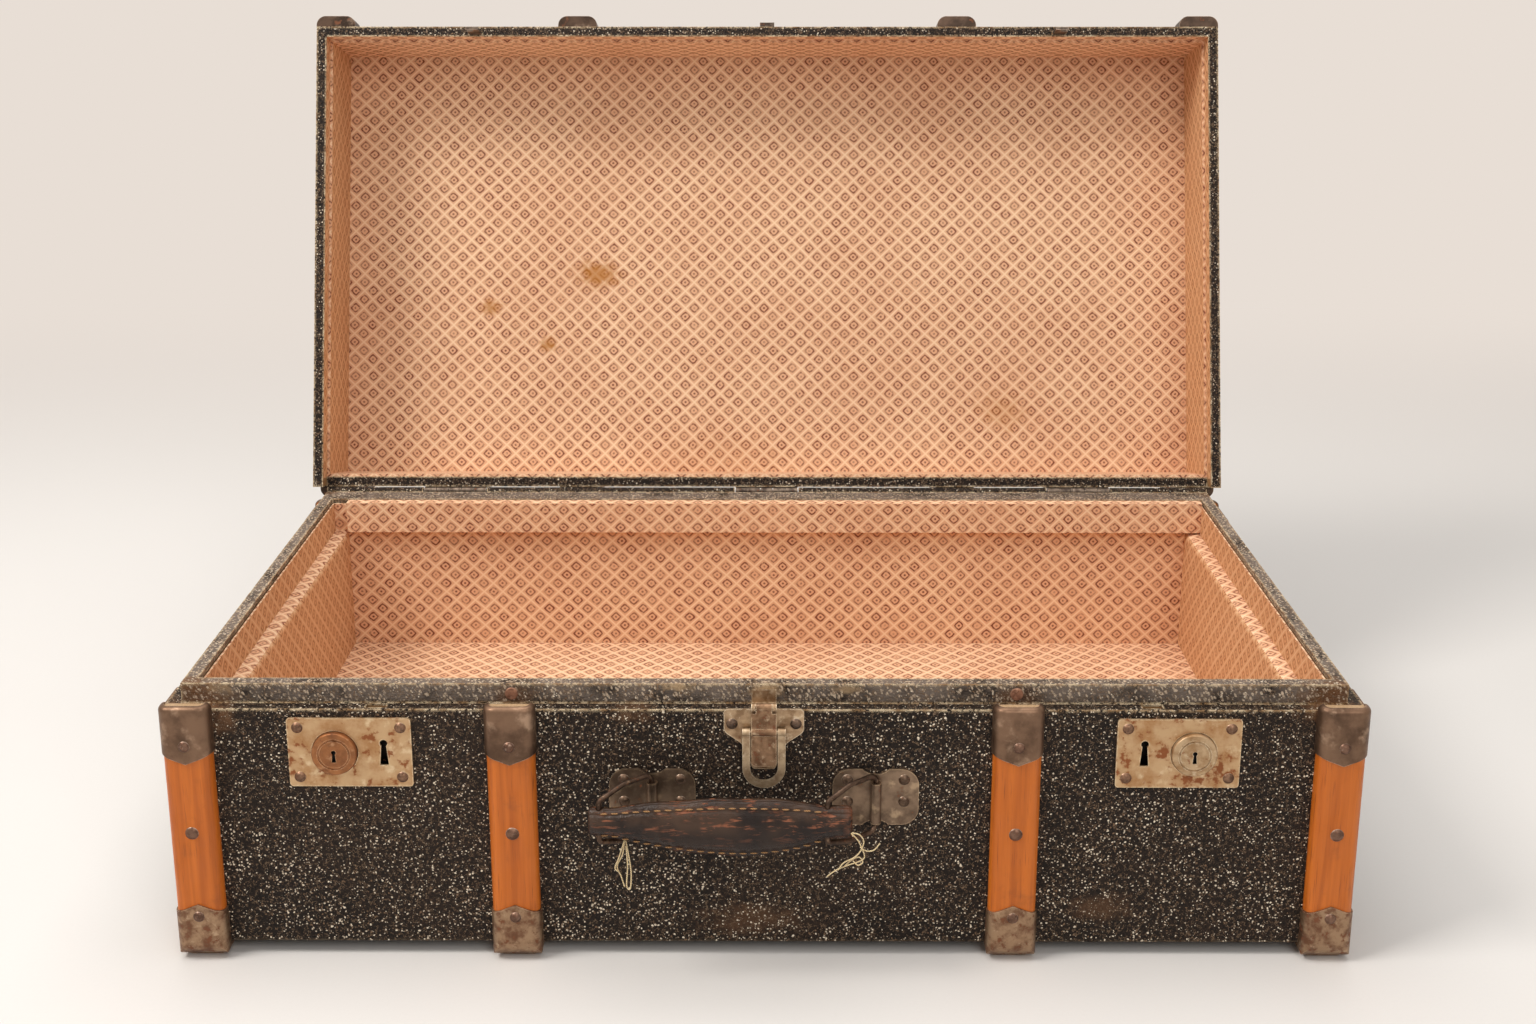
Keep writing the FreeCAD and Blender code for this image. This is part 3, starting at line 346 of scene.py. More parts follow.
@dataclass(frozen=True)
class Leathercloth(Finish):
    """Nitrocellulose-coated bookcloth with an embossed pebble grain: near black, the tops of its
    grain painted with thousands of pale flecks as highlights, its edges worn to cream and tan,
    and its lip scuffed grey."""

    ground: str = "#2a201a"
    brown: str = "#382a21"
    pit: str = "#0d0b0a"
    ridge: str = "#75604c"
    # the flecks' dim colour, the low end of their painted highlight
    fleck_glint: str = "#f4e6cf"
    # the flecks' pale colour: a painted highlight
    tan: str = "#7a604a"
    scuff: str = "#7d7066"
    scratch: str = "#c9b49c"
    leather: str = "#765338"
    bare_cloth: str = "#b79a76"
    edge_tan: str = "#a07e58"
    edge_cream: str = "#ecd6b2"
    pebble_mm: float = 1.5
    vein_mm: float = 1.9
    fleck_mm: float = 2.1
    drift_mm: float = 2.4
    drift_wave_mm: float = 3.5
    scratch_mm: Place = (2.3, 2.6, 4.6)
    scratch_lean: float = 0.5
    dark_foot_mm: tuple[float, float] = (14.0, 24.0)
    foot_share: float = 0.12
    lip_mm: float = 400.0  # above every piece: no lip
    lip_fade_mm: float = 2.0
    browned: Patches = Patches(90.0, 0.35, 0.68)
    crowded: Patches = Patches(30.0, 0.34, 0.66)
    veined: Patches = Patches(3.2, 0.50, 0.59)
    scuffed: Patches = Patches(24.0, 0.25, 0.60)
    scratched: Patches = Patches(7.0, 0.34, 0.52)
    creamed: Patches = Patches(9.0, 0.35, 0.65)
    edges: Rubbing = Rubbing(0.0028, 0.01, 0.12, Patches(2.6, 0.38, 0.50))
    # Distances in a cell, as shares of it, where each mark starts and is full.
    fleck_rim: tuple[float, float] = (-0.02, 0.05)
    vein_rim: tuple[float, float] = (0.13, 0.05)
    scratch_rim: tuple[float, float] = (0.44, 0.28)
    # How far a fleck reaches at least, and what its own number and a crowded patch add.
    fleck_reach: Place = (0.08, 0.25, 0.10)
    worn: Spots = ()
    bare: Spots = ()

    def scratches(self, tree: Tree, points: Socket, warped: Socket) -> Socket:
        """The lip's scratches: cells drawn out upwards and leant over, cut down to short dashes.

        Args:
            tree: the material's nodes.
            points: the coordinates in mm.
            warped: the same, drifted.

        Returns:
            A socket from 0 to 1.
        """
        leant = add(tree, "VectorRotate", {"Vector": warped, "Angle": self.scratch_lean},
                    rotation_type="Y_AXIS").outputs[0]
        leant = add(tree, "VectorMath", {0: leant, 1: tuple(1 / s for s in self.scratch_mm)},
                    operation="MULTIPLY").outputs[0]
        cells = add(tree, "TexVoronoi", {"Vector": leant, "Scale": 1.0}).outputs["Distance"]
        dashes = add(tree, "MapRange", {"Value": cells, "From Min": self.scratch_rim[0],
                                        "From Max": self.scratch_rim[1]}).outputs[0]
        return product(tree, dashes, self.scratched.cover(tree, points))

    def veins(self, tree: Tree, points: Socket, warped: Socket) -> Socket:
        """The net of brown ridges between the pebbles, broken up by small patches.

        Args:
            tree: the material's nodes.
            points: the coordinates in mm.
            warped: the same, drifted.

        Returns:
            A socket from 0 to 1.
        """
        net = add(tree, "TexVoronoi", {"Vector": warped, "Scale": 1 / self.vein_mm},
                  feature="DISTANCE_TO_EDGE").outputs["Distance"]
        net = add(tree, "MapRange", {"Value": net, "From Min": self.vein_rim[0],
                                     "From Max": self.vein_rim[1], "To Max": 0.85}).outputs[0]
        return product(tree, net, self.veined.cover(tree, points))

    def material(self) -> bpy.types.Material:
        """Builds the finish: flecks, painted highlights on the grain's tops, are short discs in random
        cells, whose size follows the cell's own number.

        Returns:
            The material.
        """
        material, tree, shader, points = self.begin()
        drift = add(tree, "TexNoise", {"Vector": points, "Scale": 1 / self.drift_wave_mm,
                                       "Detail": 2.0}).outputs[1]
        warped = add(tree, "VectorMath", {0: drift, 1: (self.drift_mm,) * 3, 2: points},
                     operation="MULTIPLY_ADD").outputs[0]
        pebbles = add(tree, "TexVoronoi", {"Vector": warped, "Scale": 1 / self.pebble_mm})
        pebbles = pebbles.outputs["Distance"]

        # Flecks: painted highlights on the pebbles' tops, brighter as each cell's own number rises.
        cells = add(tree, "TexVoronoi", {"Vector": warped, "Scale": 1 / self.fleck_mm})
        number = add(tree, "SeparateColor", {0: cells.outputs["Color"]})
        reach, *gains = self.fleck_reach
        for gain, share in zip(gains, (number.outputs[0], self.crowded.cover(tree, points))):
            reach = add(tree, "Math", {0: share, 1: gain, 2: reach},
                        operation="MULTIPLY_ADD").outputs[0]
        inside = add(tree, "Math", {0: reach, 1: cells.outputs["Distance"]},
                     operation="SUBTRACT").outputs[0]
        flecks = add(tree, "MapRange", {"Value": inside, "From Min": self.fleck_rim[0],
                                        "From Max": self.fleck_rim[1]}).outputs[0]
        bright = add(tree, "Math", {0: number.outputs[1], 1: 1.7}, operation="POWER").outputs[0]

        high = add(tree, "SeparateXYZ", {0: points}).outputs[2]
        lip = add(tree, "MapRange", {"Value": high, "From Min": self.lip_mm,
                                     "From Max": self.lip_mm + self.lip_fade_mm}).outputs[0]
        foot, clear = self.dark_foot_mm
        above = add(tree, "MapRange", {"Value": high, "From Min": foot, "From Max": clear,
                                       "To Min": self.foot_share}).outputs[0]
        edge = product(tree, self.edges.cover(tree, points), above)

        tone = paint(tree, self.ground, (self.browned.cover(tree, points), self.brown),
                     (pebbles, self.pit),
                     (product(tree, self.scuffed.cover(tree, points), lip, 0.85), self.scuff))
        tone = self.spots(tree, points, tone, self.worn, self.leather)
        tone = paint(tree, tone,
                     (product(tree, self.scratches(tree, points, warped), lip), self.scratch),
                     (self.veins(tree, points, warped), self.ridge),
                     (flecks, paint(tree, self.tan, (bright, self.fleck_glint))))
        tone = self.spots(tree, points, tone, self.bare, self.bare_cloth)
        rubbed = paint(tree, self.edge_tan, (self.creamed.cover(tree, points), self.edge_cream))
        tone = paint(tree, tone, (edge, rubbed))

        relief = add(tree, "Math", {0: pebbles, 1: -1.0, 2: 1.0},
                     operation="MULTIPLY_ADD").outputs[0]
        relief = add(tree, "Math", {0: flecks, 1: 0.35, 2: relief},
                     operation="MULTIPLY_ADD").outputs[0]
        self.close(tree, shader, tone, relief, 0.0006, Roughness=0.55, Specular_IOR_Level=0.16)
        return material


@dataclass(frozen=True)
class LatticePaper(Finish):
    """Block-printed lining paper on card: matt, a brick-brown square outline with a dot in every
    cell of a slanting lattice, aged to peach and foxed."""

    ground: str = "#e6b893"
    rule: str = "#f8dab6"
    ink: str = "#7e422e"
    age: str = "#c98f66"
    stain: str = "#b0701f"
    # Browner on the trunk's ends: painted shade, and partly paper browned with age.
    end_shade_and_age: str = "#c08a52"
    stains: Spots = ()
    wide_mm: float = 18.0
    tall_mm: float = 17.3
    sway_mm: float = 5.0
    sway_wave_mm: float = 60.0
    printed: Patches = Patches(3.2, 0.24, 0.60)
    aged: Patches = Patches(120.0, 0.35, 0.75)
    # Shares of a cell: the outline's two sides, how far it wavers and where that puts its
    # middle, how softly it ends outside and inside, the dot, and the pale rule.
    outer: float = 0.326
    inner: float = 0.202
    waver: float = 0.09
    waver_middle: float = 0.052
    ends: tuple[float, float] = (0.012, 0.025)
    dot: tuple[float, float] = (0.11, 0.06)
    rule_edge: tuple[float, float] = (0.41, 0.47)
    faces: float = 0.7  # a normal's share past which a face counts as an end or as level

    def lattice(self, tree: Tree, points: Socket, on_end: Socket,
                on_level: Socket) -> tuple[list[Socket], list[Socket]]:
        """Counts the cells along the two slants, which are the sum and the difference of the
        places across and along a face.

        Args:
            tree: the material's nodes.
            points: the coordinates in mm.
            on_end: one on the trunk's ends.
            on_level: one on level faces.

        Returns:
            The distances from a cell's middle along the two slants, and the cell's numbers.
        """
        place = add(tree, "SeparateXYZ", {0: points}).outputs
        across = add(tree, "Mix", {0: on_end, FIRST: place[0], SECOND: place[1]},
                     data_type="FLOAT").outputs[0]
        along = add(tree, "Mix", {0: on_level, FIRST: place[2], SECOND: place[1]},
                    data_type="FLOAT").outputs[0]
        sway = add(tree, "TexNoise", {"Vector": points, "Scale": 1 / self.sway_wave_mm,
                                      "Detail": 1.0}).outputs[0]
        across = add(tree, "Math", {0: sway, 1: self.sway_mm, 2: across},
                     operation="MULTIPLY_ADD").outputs[0]
        across = product(tree, across, 1 / self.wide_mm)
        along = product(tree, along, 1 / self.tall_mm)
        halves: list[Socket] = []
        numbers: list[Socket] = []
        for way in ("ADD", "SUBTRACT"):
            count = add(tree, "Math", {0: across, 1: along}, operation=way).outputs[0]
            part = add(tree, "Math", {0: count}, operation="FRACT").outputs[0]
            part = add(tree, "Math", {0: part, 1: 0.5}, operation="SUBTRACT").outputs[0]
            halves.append(add(tree, "Math", {0: part}, operation="ABSOLUTE").outputs[0])
            numbers.append(add(tree, "Math", {0: count}, operation="FLOOR").outputs[0])
        return halves, numbers

    def material(self) -> bpy.types.Material:
        """Builds the finish: the distance from a cell's middle, partly the larger of the two
        along the slants and partly the round one, draws the outline.

        Returns:
            The material.
        """
        material, tree, shader, points = self.begin()
        facing = add(tree, "TexCoord").outputs["Normal"]
        if self.pose is Pose.LID:
            facing = add(tree, "VectorRotate", {"Vector": facing, "Angle": self.pose.value},
                         rotation_type="X_AXIS").outputs[0]
        facing = add(tree, "VectorMath", {0: facing}, operation="ABSOLUTE").outputs[0]
        side = add(tree, "SeparateXYZ", {0: facing}).outputs
        on_end, on_level = (add(tree, "Math", {0: side[i], 1: self.faces},
                                operation="GREATER_THAN").outputs[0] for i in (0, 2))

        halves, numbers = self.lattice(tree, points, on_end, on_level)
        square = add(tree, "Math", {0: halves[0], 1: halves[1]}, operation="MAXIMUM").outputs[0]
        pair = add(tree, "CombineXYZ", {0: halves[0], 1: halves[1]}).outputs[0]
        radial = add(tree, "VectorMath", {0: pair}, operation="LENGTH").outputs["Value"]
        off = add(tree, "Mix", {0: 0.30, FIRST: square, SECOND: radial},
                  data_type="FLOAT").outputs[0]
        noise = add(tree, "TexNoise", {"Vector": points, "Scale": 1 / 2.2, "Detail": 2.0})
        off = add(tree, "Math", {0: noise.outputs[0], 1: self.waver, 2: off},
                  operation="MULTIPLY_ADD").outputs[0]
        off = add(tree, "Math", {0: off, 1: (self.outer + self.inner) / 2 + self.waver_middle},
                  operation="SUBTRACT").outputs[0]
        off = add(tree, "Math", {0: off}, operation="ABSOLUTE").outputs[0]
        half_wide = (self.outer - self.inner) / 2
        outline = add(tree, "MapRange", {"Value": off, "From Min": half_wide + self.ends[0],
                                         "From Max": half_wide - self.ends[1]}).outputs[0]
        dot = add(tree, "MapRange", {"Value": radial, "From Min": self.dot[0],
                                     "From Max": self.dot[1]}).outputs[0]
        rules = add(tree, "MapRange", {"Value": square, "From Min": self.rule_edge[0],
                                       "From Max": self.rule_edge[1]}).outputs[0]

        cell = add(tree, "CombineXYZ", {0: numbers[0], 1: numbers[1]}).outputs[0]
        luck = add(tree, "TexWhiteNoise", {"Vector": cell}, noise_dimensions="2D")
        inked = add(tree, "Math", {0: luck.outputs["Value"], 1: 0.35, 2: 0.70},
                    operation="MULTIPLY_ADD").outputs[0]
        inked = product(tree, inked, self.printed.cover(tree, points))
        tone = paint(tree, self.ground, (rules, self.rule),
                     (product(tree, outline, inked), self.ink),
                     (product(tree, dot, inked), self.ink))
        aged = product(tree, self.aged.cover(tree, points), 0.20)
        tone = add(tree, "Mix", {0: aged, UNDER: tone, OVER: linear(self.age)},
                   data_type="RGBA", blend_type="MULTIPLY").outputs[2]
        # The end walls darker and browner: painted shade, and partly paper browned with age.
        tone = paint(tree, tone, (product(tree, on_end, 0.45), self.end_shade_and_age))
        tone = self.spots(tree, points, tone, self.stains, self.stain)
        fibre = add(tree, "TexNoise", {"Vector": points, "Scale": 1 / 1.5, "Detail": 4.0})
        self.close(tree, shader, tone, fibre.outputs[0], 0.0002, 0.6, Roughness=0.82,
                   Specular_IOR_Level=0.25)
        return material


@dataclass(frozen=True)
class VarnishedBeech(Finish):
    """Steam-bent beech under old orange shellac: fine straight grain, darker pores, a soft gloss
    dulled by dirt at the ends and rubbed on the edges."""

    grain: Grain = Grain.UPRIGHT
    light: str = "#d06f1f"
    band: str = "#b2580f"
    pore: str = "#7e3a10"
    dirt: str = "#6e3a1a"
    rubbed: str = "#7a4a24"
    cut_light: str = "#d6b48c"
    cut_dark: str = "#8a6a4a"
    cut_level: float = 2.0  # an upward normal past which a face is a cut end; 2 is never
    dirtied: Patches = Patches(26.0, 0.55, 0.80, 5.0)
    dulled: Patches = Patches(18.0, 0.3, 0.7)
    edges: Rubbing = Rubbing(0.0012, 0.05, 0.25, Patches(12.0, 0.45, 0.60))
    band_levels: tuple[float, float] = (0.36, 0.72)
    pore_levels: tuple[float, float] = (0.60, 0.78)
    roughness: tuple[float, float] = (0.42, 0.60)

    def material(self) -> bpy.types.Material:
        """Builds the finish: noise stretched along the grain gives bands and fine pores.

        Returns:
            The material.
        """
        material, tree, shader, points = self.begin()
        along = self.grain.along(tree, points)
        bands = add(tree, "TexNoise", {"Vector": along, "Scale": 0.6, "Detail": 3.0,
                                       "Distortion": 0.4}).outputs[0]
        pores = add(tree, "TexNoise", {"Vector": along, "Scale": 3.5, "Detail": 2.0}).outputs[0]
        bands, pores = (add(tree, "MapRange", {"Value": noise, "From Min": start,
                                               "From Max": full}).outputs[0]
                        for noise, (start, full) in ((bands, self.band_levels),
                                                     (pores, self.pore_levels)))
        pores = product(tree, pores, 0.65)
        dirty = product(tree, self.dirtied.cover(tree, points), 0.45)
        up = add(tree, "SeparateXYZ", {0: add(tree, "TexCoord").outputs["Normal"]}).outputs[2]
        cut = add(tree, "Math", {0: up, 1: self.cut_level}, operation="GREATER_THAN").outputs[0]
        fibres = add(tree, "TexNoise", {"Vector": points, "Scale": 1 / 1.6, "Detail": 4.0})
        raw = paint(tree, self.cut_light, (fibres.outputs[0], self.cut_dark))
        tone = paint(tree, self.light, (bands, self.band), (pores, self.pore),
                     (dirty, self.dirt), (self.edges.cover(tree, points), self.rubbed),
                     (cut, raw))
        rough = add(tree, "MapRange", {"Value": self.dulled.cover(tree, points),
                                       "To Min": self.roughness[0],
                                       "To Max": self.roughness[1]}).outputs[0]
        self.close(tree, shader, tone, pores, 0.0002, Roughness=rough, Specular_IOR_Level=0.35,
                   Coat_Weight=0.12, Coat_Roughness=0.25)
        return material


@dataclass(frozen=True)
class AgedSteel(Finish):
    """Drawn sheet steel that has browned: a dull warm metal with darker blotches, patches of painted
    sheen and a painted highlight along its edges, with some dry rust."""

    ground: str = "#5e524a"
    dark: str = "#3a312c"
    bright: str = "#a39282"
    rust: str = "#7a4a2e"
    rust_level: float = 0.60
    metal: float = 0.85
    rust_metal: float = 0.15
    rough: float = 0.42
    rust_rough: float = 0.80
    patch_mm: float = 9.0
    highlight_edge_m: float = 0.0012

    def tint(self, tree: Tree, points: Socket, tone: Socket) -> Socket:
        """Changes the colour in places of its own; a plain finish changes nothing."""
        return tone

    def material(self) -> bpy.types.Material:
        """Builds the finish: blotches, painted sheen, rust flecks and painted highlight on edges.

        Returns:
            The material.
        """
        material, tree, shader, points = self.begin()
        blotches = Patches(self.patch_mm, 0.35, 0.66, 5.0).cover(tree, points)
        # Patches of painted sheen in the highlight colour.
        shine = Patches(self.patch_mm * 0.7, 0.56, 0.74, 4.0).cover(tree, points)
        shine = product(tree, shine, 0.55)
        rusty = Patches(self.patch_mm * 0.5, self.rust_level, self.rust_level + 0.10,
                        6.0).cover(tree, points)
        # A painted highlight along the edges, where the bevel turns, broken into patches.
        edge = Rubbing(self.highlight_edge_m, 0.03, 0.22, Patches(4.0, 0.36, 0.55)).cover(tree, points)
        tone = paint(tree, self.ground, (blotches, self.dark), (shine, self.bright),
                     (rusty, self.rust), (edge, self.bright))
        tone = self.tint(tree, points, tone)
        metal, rough = (add(tree, "MapRange", {"Value": rusty, "To Min": clean,
                                               "To Max": rusted}).outputs[0]
                        for clean, rusted in ((self.metal, self.rust_metal),
                                              (self.rough, self.rust_rough)))
        pits = add(tree, "TexNoise", {"Vector": points, "Scale": 1 / 1.3, "Detail": 4.0})
        self.close(tree, shader, tone, pits.outputs[0], 0.00018, 0.5, Metallic=metal,
                   Roughness=rough)
        return material


@dataclass(frozen=True)
class ButtonMetal(AgedSteel):
    """The same worn plate on a lock's push button, whose small keyhole is painted black inside:
    painted shade in the hole."""

    keyhole_shade: str = "#0c0907"
    middle_mm: Place = (0.0, 0.0, 0.0)
    inner_mm: float = 9.0
    behind_mm: tuple[float, float] = (0.15, 0.6)

    def tint(self, tree: Tree, points: Socket, tone: Socket) -> Socket:
        """Paints shade: blackens what lies behind the button's face and near its middle.

        Args:
            tree: the material's nodes.
            points: the coordinates in mm.
            tone: the colour so far.

        Returns:
            The colour with its dark keyhole.
        """
        away = add(tree, "VectorMath", {0: points, 1: self.middle_mm},
                   operation="SUBTRACT").outputs[0]
        behind = add(tree, "SeparateXYZ", {0: away}).outputs[1]
        behind = add(tree, "MapRange", {"Value": behind, "From Min": self.behind_mm[0],
                                        "From Max": self.behind_mm[1]}).outputs[0]
        flat = add(tree, "VectorMath", {0: away, 1: (1.0, 0.0, 1.0)},
                   operation="MULTIPLY").outputs[0]
        far = add(tree, "VectorMath", {0: flat}, operation="LENGTH").outputs["Value"]
        near = add(tree, "Math", {0: far, 1: self.inner_mm}, operation="LESS_THAN").outputs[0]
        # Painted shade: the keyhole black inside.
        return paint(tree, tone, (product(tree, behind, near), self.keyhole_shade))


@dataclass(frozen=True)
class RawWood(Finish):
    """Thin unvarnished ply and deal: dry, pale brown, its grain along the board; seen at worn
    edges and inside."""

    light: str = "#b08a5c"
    dark: str = "#7c5733"

    def material(self) -> bpy.types.Material:
        """Builds the finish from noise stretched along the trunk's length.

        Returns:
            The material.
        """
        material, tree, shader, points = self.begin()
        bands = add(tree, "TexNoise", {"Vector": Grain.LENGTH.along(tree, points), "Scale": 1.2,
                                       "Detail": 4.0}).outputs[0]
        tone = paint(tree, self.light, (bands, self.dark))
        self.close(tree, shader, tone, bands, 0.0003, Roughness=0.8)
        return material


@dataclass(frozen=True)
class GripLeather(Finish):
    """Stitched saddle leather, once dyed black: waxy and creased, its surface cracked and rubbed
    to red-brown on the crown and torn at the right end; its upper part painted lighter as a
    highlight and its lower part darker as painted shade."""

    ground: str = "#211713"
    # The crown's brown: partly rubbed leather, partly a painted highlight.
    rubbed: str = "#4c382b"
    worn: str = "#935a3f"
    raw: str = "#6d422c"
    crack_mm: Place = (16.0, 2.4, 2.4)
    grain_mm: float = 1.1
    lit_crown_mm: tuple[float, float] = (121.0, 130.0)
    torn_mm: tuple[float, float] = (56.0, 63.0)
    shaded_under_crown: float = 0.25
    crack_levels: tuple[float, float] = (0.535, 0.59)
    sheen_and_rub: Patches = Patches(34.0, 0.30, 0.66)
    cracked: Patches = Patches(20.0, 0.42, 0.55)
    frayed: Patches = Patches(5.0, 0.38, 0.52)
    edges: Rubbing = Rubbing(0.0016, 0.10, 0.42, Patches(6.0, 0.42, 0.56))

    def material(self) -> bpy.types.Material:
        """Builds the finish: long cracks from noise stretched along the grip, a brown that is partly
        rubbing and partly painted highlight on its crown, thinning to painted shade below it, and
        rubbing on its edges.

        Returns:
            The material.
        """
        material, tree, shader, points = self.begin()
        along = add(tree, "VectorMath", {0: points, 1: tuple(1 / s for s in self.crack_mm)},
                    operation="MULTIPLY").outputs[0]
        cracks = add(tree, "TexNoise", {"Vector": along, "Scale": 0.9, "Detail": 6.0,
                                        "Roughness": 0.68, "Distortion": 0.7}).outputs[0]
        cracks = add(tree, "MapRange", {"Value": cracks, "From Min": self.crack_levels[0],
                                        "From Max": self.crack_levels[1]}).outputs[0]
        place = add(tree, "SeparateXYZ", {0: points}).outputs
        # Crown lighter, a painted highlight; below it darker, painted shade; the cracks keep to it too.
        high = add(tree, "MapRange", {"Value": place[2], "From Min": self.lit_crown_mm[0],
                                      "From Max": self.lit_crown_mm[1],
                                      "To Min": self.shaded_under_crown}).outputs[0]
        torn = add(tree, "MapRange", {"Value": place[0], "From Min": self.torn_mm[0],
                                      "From Max": self.torn_mm[1]}).outputs[0]
        tone = paint(tree, self.ground,
                     (product(tree, self.sheen_and_rub.cover(tree, points), high), self.rubbed),
                     (product(tree, cracks, self.cracked.cover(tree, points), high), self.worn),
                     (self.edges.cover(tree, points), self.raw),
                     (product(tree, torn, self.frayed.cover(tree, points)), self.raw))
        grain = add(tree, "TexVoronoi", {"Vector": points, "Scale": 1 / self.grain_mm})
        relief = add(tree, "Math", {0: cracks, 1: -0.8, 2: grain.outputs["Distance"]},
                     operation="MULTIPLY_ADD").outputs[0]
        self.close(tree, shader, tone, relief, 0.00035, 0.8, Roughness=0.26,
                   Specular_IOR_Level=0.26)
        return material


@dataclass(frozen=True)
class LinenThread(Finish):
    """Waxed linen thread: matt and twisted, its lay showing as fine slanting ridges."""

    light: str = "#f6e6c2"
    dark: str = "#cfae74"
    lay_mm: float = 2.6  # coarser than the real lay, so that it shows

    def material(self) -> bpy.types.Material:
        """Builds the finish: slanting ridges, slightly uneven, in two colours.

        Returns:
            The material.
        """
        material, tree, shader, points = self.begin()
        twist = add(tree, "TexWave", {"Vector": points, "Scale": 1 / self.lay_mm,
                                      "Distortion": 2.0}, bands_direction="DIAGONAL").outputs[0]
        tone = paint(tree, self.light, (twist, self.dark))
        self.close(tree, shader, tone, twist, 0.0002, Roughness=0.9)
        return material


def grid_mesh(name: str, points: np.ndarray, round_way: bool) -> bpy.types.Mesh:
    """Makes a smooth mesh from a grid of points; a tube's two ends are closed with a fan.

    Args:
        name: the mesh's name.
        points: rows by columns by 3, each row a ring when round_way is true.
        round_way: whether the columns close on themselves.

    Returns:
        The mesh, its faces outwards for rings that run anticlockwise seen from the last row.
    """
    rows, columns = points.shape[:2]
    number = np.arange(rows * columns).reshape(rows, columns)
    ahead = np.roll(number, -1, axis=1) if round_way else number[:, 1:]
    here = number if round_way else number[:, :-1]
    quads = np.stack([here[:-1], ahead[:-1], ahead[1:], here[1:]], axis=-1).reshape(-1, 4)
    faces = quads.tolist()
    vertices = points.reshape(-1, 3)
    if round_way:
        vertices = np.concatenate([vertices, points[[0, -1]].mean(axis=1)])
        first = np.stack([ahead[0], here[0], np.full(columns, rows * columns)], axis=-1)
        last = np.stack([here[-1], ahead[-1], np.full(columns, rows * columns + 1)], axis=-1)
        faces += first.tolist() + last.tolist()
    mesh = bpy.data.meshes.new(name)
    mesh.from_pydata(vertices.tolist(), [], faces)
    mesh.polygons.foreach_set("use_smooth", np.ones(len(mesh.polygons), dtype=bool))
    mesh.update()
    return mesh


def show(name: str, mesh: bpy.types.Mesh, finish: bpy.types.Material) -> bpy.types.Object:
    """Puts a mesh into the scene as a piece at the origin.

    Args:
        name: the piece's name.
        mesh: its mesh, placed by its vertices.
        finish: its material.

    Returns:
        The new object.
    """
    piece = bpy.data.objects.new(name, mesh)
    bpy.context.scene.collection.objects.link(piece)
    mesh.materials.append(finish)
    log.info("%s: %d faces of %s", name, len(mesh.polygons), finish.name)
    return piece


def dress(*looks: tuple[Finish, tuple[str, ...]]) -> None:
    """Gives CAD nodes their finishes.

    Args:
        looks: each finish, and the nodes that get it in every slot.
    """
    for finish, nodes in looks:
        material = finish.material()
        for name in nodes:
            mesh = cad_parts[name].data
            mesh.materials.clear()
            mesh.materials.append(material)
            log.info("%s: %s", name, finish.name)


@dataclass
class Case:
    """The lower half: its boards, covering, lining, slats, caps and feet."""

    lip_mm: float = 199.6
    worn: Spots = (  # the leather corners of the lip, and rubbed places on the front
        (-412.0, -303.0, 206.0, 26.0, 0.90, 1.4), (412.0, -303.0, 206.0, 26.0, 0.90, 1.4),
        (-183.5, -300.0, 203.0, 15.0, 0.60, 1.5), (183.5, -300.0, 203.0, 15.0, 0.60, 1.5),
        (-424.0, 132.0, 210.0, 16.0, 0.80, 1.0), (424.0, 132.0, 210.0, 16.0, 0.80, 1.0),
        (-392.0, -312.0, 190.0, 13.0, 0.55, 1.0), (-95.0, -306.0, 196.0, 11.0, 0.50, 2.0),
        (-10.0, -311.0, 30.0, 18.0, 0.35, 3.0), (250.0, -311.0, 40.0, 16.0, 0.35, 2.0))
    bare: Spots = (  # where the lip's cloth is bare, the largest over the catch
        (2.0, -299.5, 209.5, 9.5, 0.95, 1.7), (-62.0, -299.5, 212.0, 5.0, 0.80, 3.0),
        (60.0, -299.5, 210.0, 5.0, 0.60, 3.0), (-395.0, -299.5, 210.0, 7.0, 0.45, 2.0))

    def build(self) -> None:
        """Dresses the case's nodes."""
        dress(
            (Leathercloth("case_leathercloth", lip_mm=self.lip_mm, worn=self.worn,
                          bare=self.bare), ("base_covering",)),
            (Leathercloth("welt_leathercloth"), ("joint_welts",)),
            (LatticePaper("case_lattice_paper"),
             ("base_wall_lining", "floor_board", "hinge_rail", "tray_ledge_left",
              "tray_ledge_right")),
            (RawWood("case_raw_wood"),
             ("base_bottom_board", "base_front_wall", "base_back_wall", "base_side_walls",
              "base_inner_boards", "floor_bearers")),
            (VarnishedBeech("case_beech_upright", cut_level=0.7), ("base_slats",)),
            (VarnishedBeech("case_beech_runners", grain=Grain.DEPTH), ("bottom_runners",)),
            # The caps' bright rolled edges are a painted highlight.
            (AgedSteel("case_cap_steel", ground="#7f6450", dark="#574234", bright="#c4a68c",
                       rust_level=0.70, patch_mm=26.0), ("base_upper_caps",)),
            (AgedSteel("case_foot_steel", ground="#a3866a", dark="#6f4d39", bright="#cbb193",
                       rust_level=0.56), ("base_lower_caps",)),
            (AgedSteel("case_rivet_steel", ground="#7c5f4f", dark="#574034", bright="#a58f7f",
                       patch_mm=5.0), ("base_slat_rivets",)),
            (AgedSteel("rim_stud_copper", ground="#b98a70", dark="#8c6450", bright="#e0b89c",
                       metal=0.5, patch_mm=4.0), ("rim_studs",)))


